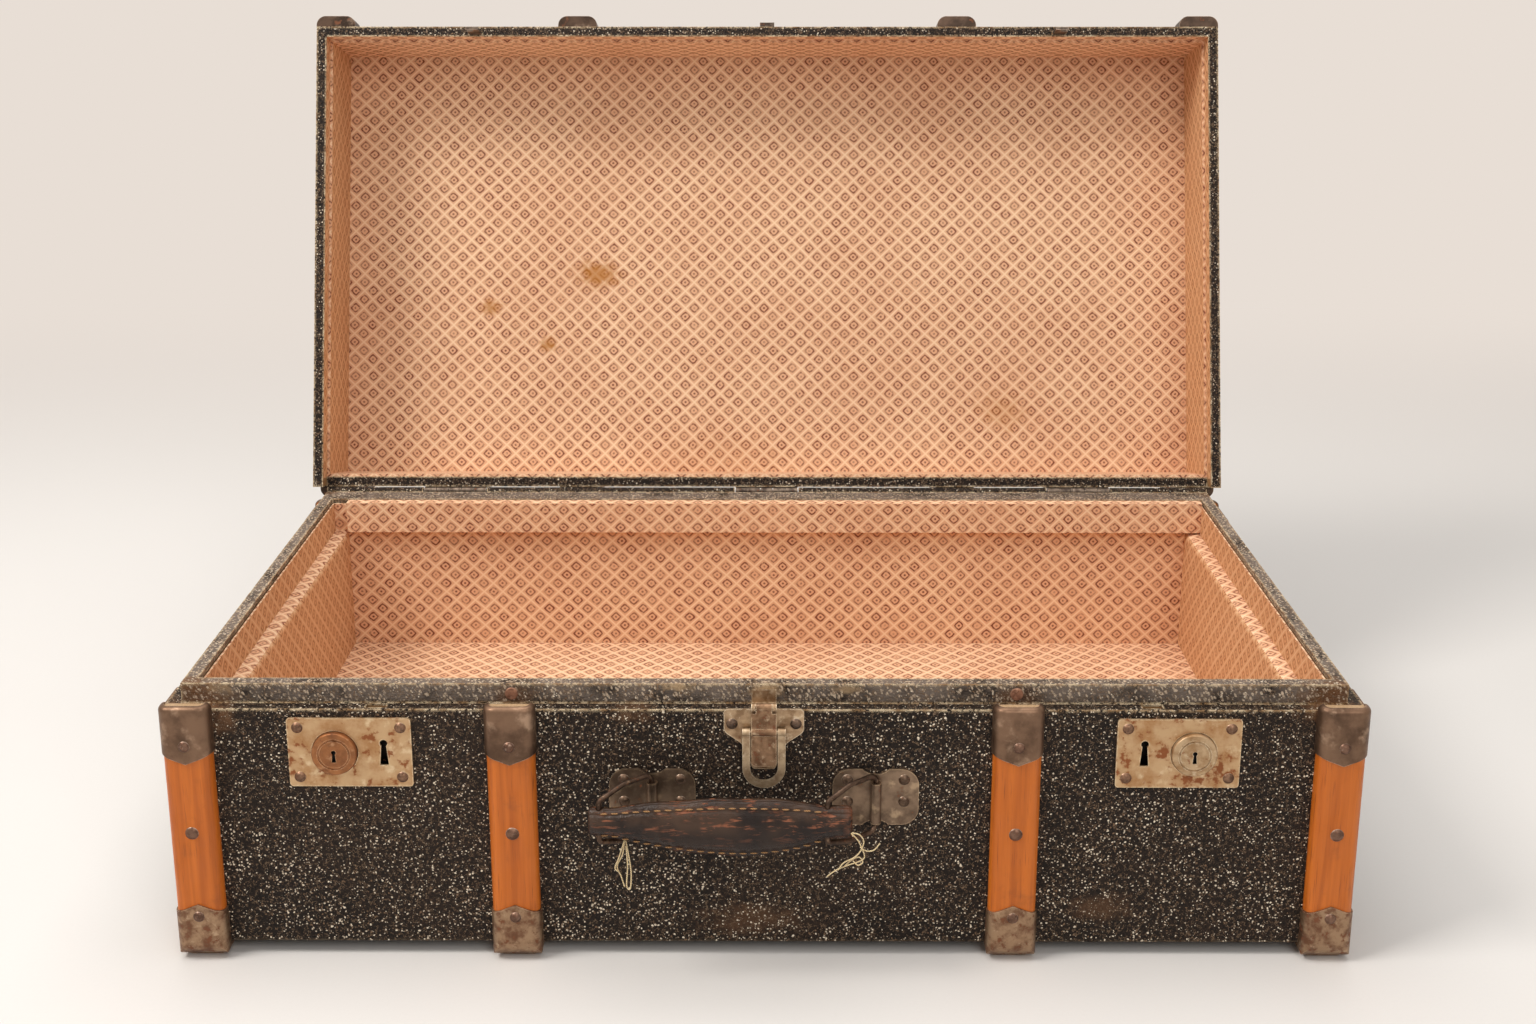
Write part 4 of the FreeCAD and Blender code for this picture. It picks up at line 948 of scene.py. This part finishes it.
@dataclass
class Lid:
    """The upper half, thrown back on its hinges."""

    stains: Spots = (
        (-172.0, -77.0, 290.7, 20.0, 0.72, 1.6), (-281.0, -44.0, 290.7, 11.0, 0.70, 1.5),
        (-221.0, -6.0, 290.7, 12.0, 0.72, 1.0), (236.0, 62.0, 290.7, 30.0, 0.30, 1.2),
        (-40.0, 120.0, 290.7, 60.0, 0.10, 2.0))

    def build(self) -> None:
        """Dresses the lid's nodes."""
        dress(
            (Leathercloth("lid_leathercloth", Pose.LID), ("lid_covering",)),
            (LatticePaper("lid_lattice_paper", Pose.LID, stains=self.stains), ("lid_lining",)),
            (RawWood("lid_raw_wood", Pose.LID),
             ("lid_top_board", "lid_front_wall", "lid_back_wall", "lid_side_walls")),
            (VarnishedBeech("lid_beech_upright", Pose.LID),
             ("lid_front_slats", "lid_back_slats")),
            (VarnishedBeech("lid_beech_lengths", Pose.LID, grain=Grain.DEPTH),
             ("lid_top_slats",)),
            # A darker copy of the caps' steel: painted shade on the lid's caps.
            (AgedSteel("lid_cap_steel_shaded", Pose.LID, ground="#5a483c", dark="#3b2f27",
                       bright="#9c8674", patch_mm=16.0), ("lid_edge_caps", "lid_rim_caps")),
            (AgedSteel("lid_rivet_steel", Pose.LID, ground="#6a5348", patch_mm=5.0),
             ("lid_slat_rivets",)),
            (AgedSteel("lid_fitting_steel", Pose.LID, ground="#7d6f62"),
             ("lid_keeper", "lid_staples", "hinge_leaves_lid", "hinge_screws_lid")))


@dataclass
class Hinges:
    """The three back hinges."""

    ground: str = "#7d6f62"

    def build(self) -> None:
        """Dresses the hinges' fixed leaves, pins and screws."""
        dress((AgedSteel("hinge_steel", ground=self.ground),
               ("hinge_leaves_base", "hinge_pins", "hinge_screws_base")))


@dataclass
class Locks:
    """The two push-button locks, with a coppery button on the left and a nickel one on the
    right."""

    # How wide the painted highlight along the plates' edges is.
    plate_highlight_edge_m: float = 0.0022

    def button(self, side: str, name: str, **colours: str) -> tuple[Finish, tuple[str, ...]]:
        """A button's look, centred on the button's own face.

        Args:
            side: "left" or "right".
            name: the finish's name.
            colours: its sRGB hex colours.

        Returns:
            The finish and its node.
        """
        node = "lock_button_" + side
        low, high = (MM_PER_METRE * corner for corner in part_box(node))
        middle = ((low.x + high.x) / 2, low.y, (low.z + high.z) / 2)
        return (ButtonMetal(name, metal=0.6, patch_mm=10.0, middle_mm=middle, **colours),
                (node,))

    def build(self) -> None:
        """Dresses the plates, buttons, screws and the works behind them."""
        dress(
            # The plates' bright rims: a painted highlight along the edges.
            (AgedSteel("lock_nickel", ground="#c4a27a", dark="#a97c50", bright="#e8d3ae",
                       rust="#8f5229", rust_level=0.55, metal=0.60, rough=0.38, patch_mm=15.0,
                       highlight_edge_m=self.plate_highlight_edge_m), ("lock_plate_left", "lock_plate_right")),
            self.button("left", "lock_button_copper", ground="#a0693f", dark="#80502f",
                        bright="#d3a67e", rust="#6e3f24"),
            self.button("right", "lock_button_nickel", ground="#bfa380", dark="#9c7a55",
                        bright="#e0d0b2", rust="#8c5836"),
            (AgedSteel("lock_screw_steel", ground="#8b6b55", dark="#5d4537", bright="#b09680",
                       patch_mm=4.0), ("lock_screws",)),
            (AgedSteel("lock_works_steel", ground="#2c2622", dark="#171412", bright="#5c5249"),
             ("lock_case_left", "lock_case_right", "lock_bolt_left", "lock_bolt_right",
              "lock_springs")))


@dataclass
class Catch:
    """The drawbolt catch in the middle of the front."""

    # How wide the painted highlight along the catch's edges is.
    highlight_edge_m: float = 0.0018
    metal: float = 0.7

    def build(self) -> None:
        """Dresses the plate, lever, bail and rivets."""
        dress(
            (AgedSteel("catch_plate_steel", ground="#b89c7c", dark="#866a4e", bright="#ecdcc0",
                       rust_level=0.64, metal=self.metal, highlight_edge_m=self.highlight_edge_m),
             ("catch_plate",)),
            (AgedSteel("catch_lever_steel", ground="#96765a", dark="#664a34", bright="#dcc3a2",
                       rust_level=0.57, metal=self.metal, highlight_edge_m=self.highlight_edge_m),
             ("catch_lever", "catch_lever_pin")),
            (AgedSteel("catch_bail_steel", ground="#c0a98a", dark="#947a5e", bright="#e4d3b8",
                       rust_level=0.66, metal=self.metal), ("catch_bail", "catch_bail_pin")),
            (AgedSteel("catch_rivet_steel", ground="#6f5a4b", patch_mm=4.0),
             ("catch_rivets",)))


def thread_tube(route: np.ndarray, radius: float, sides: int = 8, steps: int = 10,
                side: Place = (0.12, 1.0, 0.07)) -> np.ndarray:
    """A thread along a smooth line through its points.

    Between neighbours the line is the cubic that leaves each point parallel to the chord of its
    two neighbours. Each ring lies across the line, its first axis square to the side direction.

    Args:
        route: points by 3, in metres.
        radius: the thread's radius.
        sides: points round a ring.
        steps: rings for each stretch.
        side: a direction near the trunk's depth, which no thread runs along.

    Returns:
        Rings by sides by 3.
    """
    before = np.concatenate([2 * route[:1] - route[1:2], route[:-1]])
    after = np.concatenate([route[1:], 2 * route[-1:] - route[-2:-1]])
    slope = (after - before) / 2
    t = np.linspace(0, 1, steps, endpoint=False)[None, :, None]
    p0, p1, m0, m1 = route[:-1, None], route[1:, None], slope[:-1, None], slope[1:, None]
    line = ((2 * t**3 - 3 * t**2 + 1) * p0 + (t**3 - 2 * t**2 + t) * m0
            + (3 * t**2 - 2 * t**3) * p1 + (t**3 - t**2) * m1).reshape(-1, 3)
    line = np.concatenate([line, route[-1:]])
    ahead = np.gradient(line, axis=0)
    ahead /= np.linalg.norm(ahead, axis=1, keepdims=True)
    first = np.cross(ahead, np.array(side))
    first /= np.linalg.norm(first, axis=1, keepdims=True)
    second = np.cross(ahead, first)
    turn = np.linspace(0, 2 * np.pi, sides, endpoint=False)[None, :, None]
    return line[:, None] + radius * (np.cos(turn) * first[:, None]
                                     + np.sin(turn) * second[:, None])


@dataclass
class CarryingHandle:
    """The padded leather grip on its two rings, with its stitching and loose threads.

    Sizes are metres, but for the threads' routes. The grip is slim where each ring passes
    through it and swells and sags between them.
    """

    left_height: float = 0.0210
    right_height: float = 0.0240
    middle_height: float = 0.0438
    end_thickness: float = 0.0150
    middle_thickness: float = 0.0188
    sag: float = 0.0040
    slim_left: float = 0.0060
    slim_right: float = 0.0020
    skew_power: float = 1.4
    fullness_power: float = 0.65
    swell_ease: float = 0.05
    end_round: float = 0.0045
    rings: int = 241
    end_rings: int = 10
    ring_sides: int = 96
    end_power: float = 2.6
    end_height_share: float = 0.72
    end_thickness_share: float = 0.35
    up_power: float = 0.85
    out_power: float = 1.2
    crease_depth: float = 0.00022
    channel_depth: float = 0.0009
    channel_place: float = 0.72
    channel_width: float = 0.06
    margin_half: float = 0.0019
    margin_wave: float = 0.0005
    wire_radius: float = 0.0020
    ring_hole: float = 0.0026
    hole_reach: float = 0.03
    hole_sides: int = 24
    seams: tuple[float, float] = (0.80, -0.82)
    stitch_first: float = 0.004
    stitch_last: float = 0.001
    stitch_pitch: float = 0.0076
    stitch_half: float = 0.0026
    stitch_radius: float = 0.00058
    stitch_stand: float = 0.0001
    thread_radius: float = 0.00048
    # Points along each frayed thread in mm: right of its ring's hole, behind it and up.
    left_threads_mm: tuple[tuple[Place, ...], ...] = (
        ((18.0, 1.0, -14.0), (16.5, -3.0, -24.0), (12.5, -3.0, -33.5), (15.0, -2.0, -42.0),
         (17.5, -3.0, -50.0)),
        ((18.5, 1.0, -14.5), (21.5, -4.0, -28.0), (22.5, -4.0, -40.0), (21.5, -3.0, -51.5),
         (19.0, -3.0, -49.0), (20.0, -3.5, -33.0), (19.0, -2.0, -18.0)),
        ((18.0, 0.0, -14.0), (14.0, -4.0, -26.0), (11.0, -3.5, -34.5), (13.5, -3.0, -38.0)))
    right_threads_mm: tuple[tuple[Place, ...], ...] = (
        ((16.5, -7.0, -5.0), (21.0, -8.5, -9.0), (24.5, -8.0, -16.5), (26.2, -7.5, -23.5),
         (22.5, -8.0, -26.5), (15.0, -8.5, -29.0), (6.0, -8.0, -33.5), (-0.5, -7.5, -39.0)),
        ((17.0, -7.0, -4.5), (22.5, -8.0, -5.5), (25.5, -8.5, -10.5), (23.5, -8.0, -18.0),
         (19.0, -8.5, -23.0), (11.5, -9.0, -27.0), (7.5, -8.5, -33.0)),
        ((23.0, -8.0, -15.0), (27.5, -7.5, -18.5), (33.0, -7.0, -18.0), (37.2, -6.5, -13.0)),
        ((18.0, -8.5, -25.5), (21.5, -9.0, -29.0), (25.0, -8.0, -27.0), (22.5, -7.5, -23.5),
         (17.5, -8.0, -25.0), (12.0, -8.5, -30.0)))

    def __post_init__(self) -> None:
        """Takes the grip's place from the nodes it stands for."""
        low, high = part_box("handle_grip")
        left_low, left_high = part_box("handle_ring_left")
        right_low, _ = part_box("handle_ring_right")
        self.x0, self.x1 = low.x, high.x
        self.y = (low.y + high.y) / 2
        self.z = (left_low.z + left_high.z) / 2
        self.left = left_low.x + self.wire_radius
        self.right = right_low.x + self.wire_radius

    def profile(self, x: np.ndarray) -> tuple[np.ndarray, np.ndarray, np.ndarray]:
        """Half height, half thickness and middle level at each place along the grip.

        The swell is a power of a sine between the two slim stretches, drawn to the right by a
        power of the way along and eased over its first steps; both ends are rounded by a
        superellipse.

        Args:
            x: places along the grip.

        Returns:
            Half heights, half thicknesses and levels.
        """
        slim0, slim1 = self.left + self.slim_left, self.right - self.slim_right
        share = np.clip((x - slim0) / (slim1 - slim0), 0, 1)
        swell = np.maximum(np.sin(np.pi * share**self.skew_power), 0)
        full = swell**self.fullness_power * (1 - np.exp(-swell / self.swell_ease))
        end = self.left_height + (self.right_height - self.left_height) * share
        near = np.clip(np.minimum(x - self.x0, self.x1 - x) / self.end_round, 0, 1)
        ease = (1 - (1 - near) ** self.end_power) ** (1 / self.end_power)
        height = (end + (self.middle_height - end) * full) / 2
        thickness = (self.end_thickness
                     + (self.middle_thickness - self.end_thickness) * full) / 2
        height *= self.end_height_share + (1 - self.end_height_share) * ease
        thickness *= self.end_thickness_share + (1 - self.end_thickness_share) * ease
        return height, thickness, self.z - self.sag * full

    def surface(self) -> np.ndarray:
        """The grip's skin: a lens section whose upper and lower margins are pressed flat and sewn.

        At angle a the height is the half height times a root of sin a, and the depth is the half
        thickness times a power of cos a, never thinner than the margin. Creases are waves 20, 65
        and 9 mm long that fade at the margins, a shallow channel runs along both seams, and the
        margins themselves waver every 45 mm. The rings stand closer where the ends are rounded.

        Returns:
            Places along the grip by points round it by 3.
        """
        near_end = self.end_round * np.linspace(0, 1, self.end_rings) ** 1.6
        between = np.linspace(self.x0 + self.end_round, self.x1 - self.end_round, self.rings)
        x = np.concatenate([self.x0 + near_end, between[1:-1], self.x1 - near_end[::-1]])
        x = x[:, None]
        turn = np.linspace(0, 2 * np.pi, self.ring_sides, endpoint=False)[None, :]
        height, thickness, level = self.profile(x)
        up = np.sign(np.sin(turn)) * np.abs(np.sin(turn)) ** self.up_power
        out = np.abs(np.cos(turn)) ** self.out_power
        crease = self.crease_depth * (np.sin(x * 310 + 3 * up) * np.sin(x * 97 + 1.3)
                                      + 0.6 * np.sin(x * 730 + 5 * up + 0.7))
        channel = self.channel_depth * np.exp(
            -((np.abs(up) - self.channel_place) / self.channel_width) ** 2)
        depth = np.maximum((thickness + crease) * out - channel,
                           self.margin_half * np.minimum(1, out * 30))
        wave = self.margin_wave * np.sin(x * 140 + 0.4) * np.abs(up) ** 3
        return np.stack([np.broadcast_to(x, depth.shape), self.y + np.sign(np.cos(turn)) * depth,
                         level + height * up + wave], axis=-1)

    def stitches(self) -> np.ndarray:
        """Stitches along both seams, front and back, each a small bead stretched along the seam.

        Returns:
            Stitches by rings by sides by 3.
        """
        places = np.arange(self.left + self.stitch_first, self.right - self.stitch_last,
                           self.stitch_pitch)
        height, thickness, level = self.profile(places)
        rows: list[np.ndarray] = []
        for up in self.seams:
            out = (1 - abs(up) ** (2 / self.up_power)) ** (self.out_power / 2)
            depth = np.maximum(thickness * out, self.margin_half) + self.stitch_stand
            rows += [np.stack([places, self.y + face * depth, level + height * up], axis=-1)
                     for face in (-1, 1)]
        middle = np.concatenate(rows)[:, None, None]
        along = np.linspace(-1, 1, 7)[None, :, None]
        turn = np.linspace(0, 2 * np.pi, 6, endpoint=False)[None, None, :]
        fat = self.stitch_radius * np.sqrt(np.clip(1 - along**2, 0.02, 1))
        bead = np.stack(np.broadcast_arrays(self.stitch_half * along, fat * np.cos(turn),
                                            fat * np.sin(turn)), axis=-1)
        return middle + bead

    def make_grip(self) -> None:
        """Makes the padded grip that stands for its CAD node."""
        grip = show("leather_grip", grid_mesh("leather_grip", self.surface(), True),
                    GripLeather("grip_leather").material())
        self.pierce(grip)
        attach(grip, "handle_grip")
        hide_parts("handle_grip")

    def pierce(self, grip: bpy.types.Object) -> None:
        """Cuts the two upright holes that the rings' ends pass through.

        Args:
            grip: the grip's object.
        """
        for x in (self.left, self.right):
            level = self.z + np.linspace(-self.hole_reach, self.hole_reach, 2)[:, None]
            turn = np.linspace(0, 2 * np.pi, self.hole_sides, endpoint=False)[None, :]
            wall = np.stack(np.broadcast_arrays(x + self.ring_hole * np.cos(turn),
                                                self.y + self.ring_hole * np.sin(turn), level),
                            axis=-1)
            tool = bpy.data.objects.new("hole", grid_mesh("hole", wall, True))
            bpy.context.scene.collection.objects.link(tool)
            cut = grip.modifiers.new("hole", "BOOLEAN")
            cut.operation, cut.object, cut.solver = "DIFFERENCE", tool, "EXACT"
            shaped = grip.evaluated_get(bpy.context.evaluated_depsgraph_get())
            shaped = bpy.data.meshes.new_from_object(shaped)
            grip.modifiers.clear()
            grip.data = shaped
            bpy.data.objects.remove(tool)

    def make_stitches(self) -> None:
        """Makes all the stitches as one piece of closed beads."""
        beads = self.stitches()
        number = np.arange(beads[..., 0].size).reshape(beads.shape[:3])
        ahead = np.roll(number, -1, axis=2)
        quads = np.stack([number[:, :-1], ahead[:, :-1], ahead[:, 1:], number[:, 1:]], axis=-1)
        faces = quads.reshape(-1, 4).tolist()
        faces += number[:, 0, ::-1].tolist() + number[:, -1].tolist()
        mesh = bpy.data.meshes.new("grip_stitches")
        mesh.from_pydata(beads.reshape(-1, 3).tolist(), [], faces)
        finish = LinenThread("stitch_thread", light="#bf9765", dark="#8a5a34")
        stitches = show("grip_stitches", mesh, finish.material())
        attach(stitches, "handle_grip")

    def make_threads(self) -> None:
        """Makes each frayed thread a piece of its own."""
        finish = LinenThread("loose_thread").material()
        routes = [np.array([hole, self.y, self.z]) + np.array(route) / MM_PER_METRE
                  for hole, side in ((self.left, self.left_threads_mm),
                                     (self.right, self.right_threads_mm)) for route in side]
        for count, route in enumerate(routes):
            name = f"loose_thread_{count}"
            tube = thread_tube(route, self.thread_radius)
            thread = show(name, grid_mesh(name, tube, True), finish)
            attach(thread, "handle_grip")

    def build(self) -> None:
        """Makes the grip, its stitches and threads, and dresses its plates, rings and rivets."""
        self.make_grip()
        self.make_stitches()
        self.make_threads()
        # The plates' bright rims are a painted highlight along their edges.
        dress(
            (AgedSteel("handle_plate_steel", ground="#8a7460", dark="#5f4e40",
                       bright="#c4aa8a", rust="#7c4a2c", patch_mm=16.0, highlight_edge_m=0.0018),
             ("handle_plate_left", "handle_plate_right")),
            (AgedSteel("handle_ring_steel", ground="#5c493c", dark="#3f3128", bright="#a88c72",
                       rust="#7d4a2a", patch_mm=6.0), ("handle_ring_left", "handle_ring_right")),
            (AgedSteel("handle_rivet_steel", ground="#6d5848", dark="#4b3b30", patch_mm=4.0),
             ("handle_rivets",)))


@dataclass(frozen=True)
class Lamp:
    """A square soft lamp: where it hangs and the point it faces, its side in metres, its power
    in watts and its sRGB hex colour."""

    name: str
    place: Place
    aim: Place
    side: float
    power: float
    colour: str

    def hang(self) -> None:
        """Puts the lamp into the scene."""
        data = bpy.data.lights.new(self.name, "AREA")
        data.size, data.energy, data.color = self.side, self.power, linear(self.colour)[:3]
        lamp = bpy.data.objects.new(self.name, data)
        lamp.location = self.place
        towards = Vector(self.aim) - Vector(self.place)
        lamp.rotation_euler = towards.to_track_quat("-Z", "Y").to_euler()
        bpy.context.scene.collection.objects.link(lamp)


@dataclass
class Studio:
    """A pale paper sweep, soft lamps and the camera at the photograph's viewing angle.

    Places are metres and angles radians; the lens and the sensor are millimetres.
    """

    place: Place = (0.0070, -1.4777, 0.7594)
    yaw: float = -0.0035
    pitch: float = 0.2510
    lens: float = 41.27
    sensor: float = 36.0
    shift: float = -0.0992
    clip: tuple[float, float] = (0.05, 50.0)
    sweep_front: float = -6.0
    sweep_half: float = 6.0
    sweep_back: float = 2.2
    sweep_radius: float = 1.2
    sweep_high: float = 3.4
    even_back: tuple[float, float] = (0.45, 1.9)
    even_far: tuple[float, float] = (1.5, 3.0)
    backdrop: str = "#e8ded5"
    paper_dark: str = "#e8e5e2"
    paper_light: str = "#ebe8e5"
    fibre_m: float = 0.0025
    air_light: str = "#f8f5f2"
    air_strength: float = 0.34
    lamps: tuple[Lamp, ...] = (
        Lamp("key", (-2.1, -1.1, 2.9), (0.0, -0.05, 0.25), 1.2, 66.0, "#fffaf4"),
        Lamp("fill", (0.9, -2.7, 2.3), (0.0, -0.05, 0.25), 1.4, 23.0, "#fffcf8"),
        Lamp("over", (0.0, 0.12, 2.7), (0.0, -0.1, 0.0), 2.2, 37.0, "#fffdfa"))

    def camera(self) -> None:
        """Sets the camera from its heading: forward from yaw and pitch, right level."""
        forward = Vector((math.sin(self.yaw) * math.cos(self.pitch),
                          math.cos(self.yaw) * math.cos(self.pitch), -math.sin(self.pitch)))
        right = forward.cross(Vector((0, 0, 1))).normalized()
        up = right.cross(forward)
        data = bpy.data.cameras.new("camera")
        data.lens, data.sensor_width, data.shift_y = self.lens, self.sensor, self.shift
        data.clip_start, data.clip_end = self.clip
        camera = bpy.data.objects.new("camera", data)
        axes = Matrix((right, up, -forward)).transposed().to_4x4()
        camera.matrix_world = Matrix.Translation(Vector(self.place)) @ axes
        bpy.context.scene.collection.objects.link(camera)
        bpy.context.scene.camera = camera

    def seen(self, tree: Tree) -> Socket:
        """Tells looking from lighting.

        Args:
            tree: the paper's or the world's nodes.

        Returns:
            One where it is looked at, straight, in metal or through glass, and nought where it
            only gives light.
        """
        rays = add(tree, "LightPath").outputs
        seen = add(tree, "Math", {0: rays["Is Camera Ray"], 1: rays["Is Glossy Ray"]},
                   operation="ADD").outputs[0]
        return add(tree, "Math", {0: seen, 1: rays["Is Transmission Ray"]}, operation="ADD",
                   use_clamp=True).outputs[0]

    def air(self) -> None:
        """The world: a soft plain light that looks like the backdrop."""
        world = bpy.data.worlds.new("studio_air")
        world.use_nodes = True
        tree = world.node_tree
        light = feed(tree, tree.nodes["Background"], {"Color": linear(self.air_light),
                                                      "Strength": self.air_strength})
        backdrop = add(tree, "Background", {"Color": linear(self.backdrop), "Strength": 1.0})
        both = add(tree, "MixShader", {0: self.seen(tree), 1: light.outputs[0],
                                       2: backdrop.outputs[0]})
        feed(tree, tree.nodes["World Output"], {0: both.outputs[0]})
        bpy.context.scene.world = world

    def paper(self) -> bpy.types.Material:
        """Matt studio paper, a plain near white that shows its fibres only up close; far behind
        the trunk it looks as even as the backdrop.

        Returns:
            The material.
        """
        material = bpy.data.materials.new("studio_paper")
        material.use_nodes = True
        tree = material.node_tree
        place = add(tree, "TexCoord").outputs["Object"]
        fibre = add(tree, "TexNoise", {"Vector": place, "Scale": 1 / self.fibre_m, "Detail": 2.0})
        tone = paint(tree, self.paper_dark, (fibre.outputs[0], self.paper_light))
        shader = feed(tree, tree.nodes["Principled BSDF"],
                      {"Roughness": 0.9, "Specular IOR Level": 0.1, "Base Color": tone})
        back = add(tree, "SeparateXYZ", {0: place}).outputs[1]
        far = add(tree, "VectorMath", {0: place}, operation="LENGTH").outputs["Value"]
        behind, beyond = (add(tree, "MapRange", {"Value": way, "From Min": start,
                                                 "From Max": full},
                              interpolation_type=SOFTLY).outputs[0]
                          for way, (start, full) in ((back, self.even_back),
                                                     (far, self.even_far)))
        even = add(tree, "Math", {0: behind, 1: beyond}, operation="MAXIMUM").outputs[0]
        glow = add(tree, "Emission", {"Color": linear(self.backdrop)})
        both = add(tree, "MixShader", {0: product(tree, even, self.seen(tree)),
                                       1: shader.outputs[0], 2: glow.outputs[0]})
        feed(tree, tree.nodes["Material Output"], {0: both.outputs[0]})
        return material

    def sweep(self) -> None:
        """The paper: flat, then a quarter round, then upright, carried across the width."""
        bend = np.linspace(0, np.pi / 2, 25)
        wall = self.sweep_back + self.sweep_radius
        y = np.concatenate([[self.sweep_front],
                            self.sweep_back + self.sweep_radius * np.sin(bend), [wall]])
        z = np.concatenate([[0.0], self.sweep_radius * (1 - np.cos(bend)), [self.sweep_high]])
        x = np.array([self.sweep_half, -self.sweep_half])
        points = np.stack(np.broadcast_arrays(x[:, None], y[None], z[None]), axis=-1)
        show("studio_paper", grid_mesh("studio_paper", points, False), self.paper())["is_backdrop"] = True

    def build(self) -> None:
        """Sets up camera, paper, lamps and world."""
        self.camera()
        self.sweep()
        for lamp in self.lamps:
            lamp.hang()
        self.air()
        bpy.context.scene.view_settings.view_transform = "Standard"


def main() -> None:
    """Builds the studio and every sub-assembly in order."""
    logging.basicConfig(level=logging.INFO, format="%(name)s: %(message)s")
    for part in (Studio(), Case(), Lid(), Hinges(), Locks(), Catch(), CarryingHandle()):
        part.build()
        log.info("%s built", type(part).__name__)
    write_size("visual", sizes)


if __name__ == "__main__":
    main()
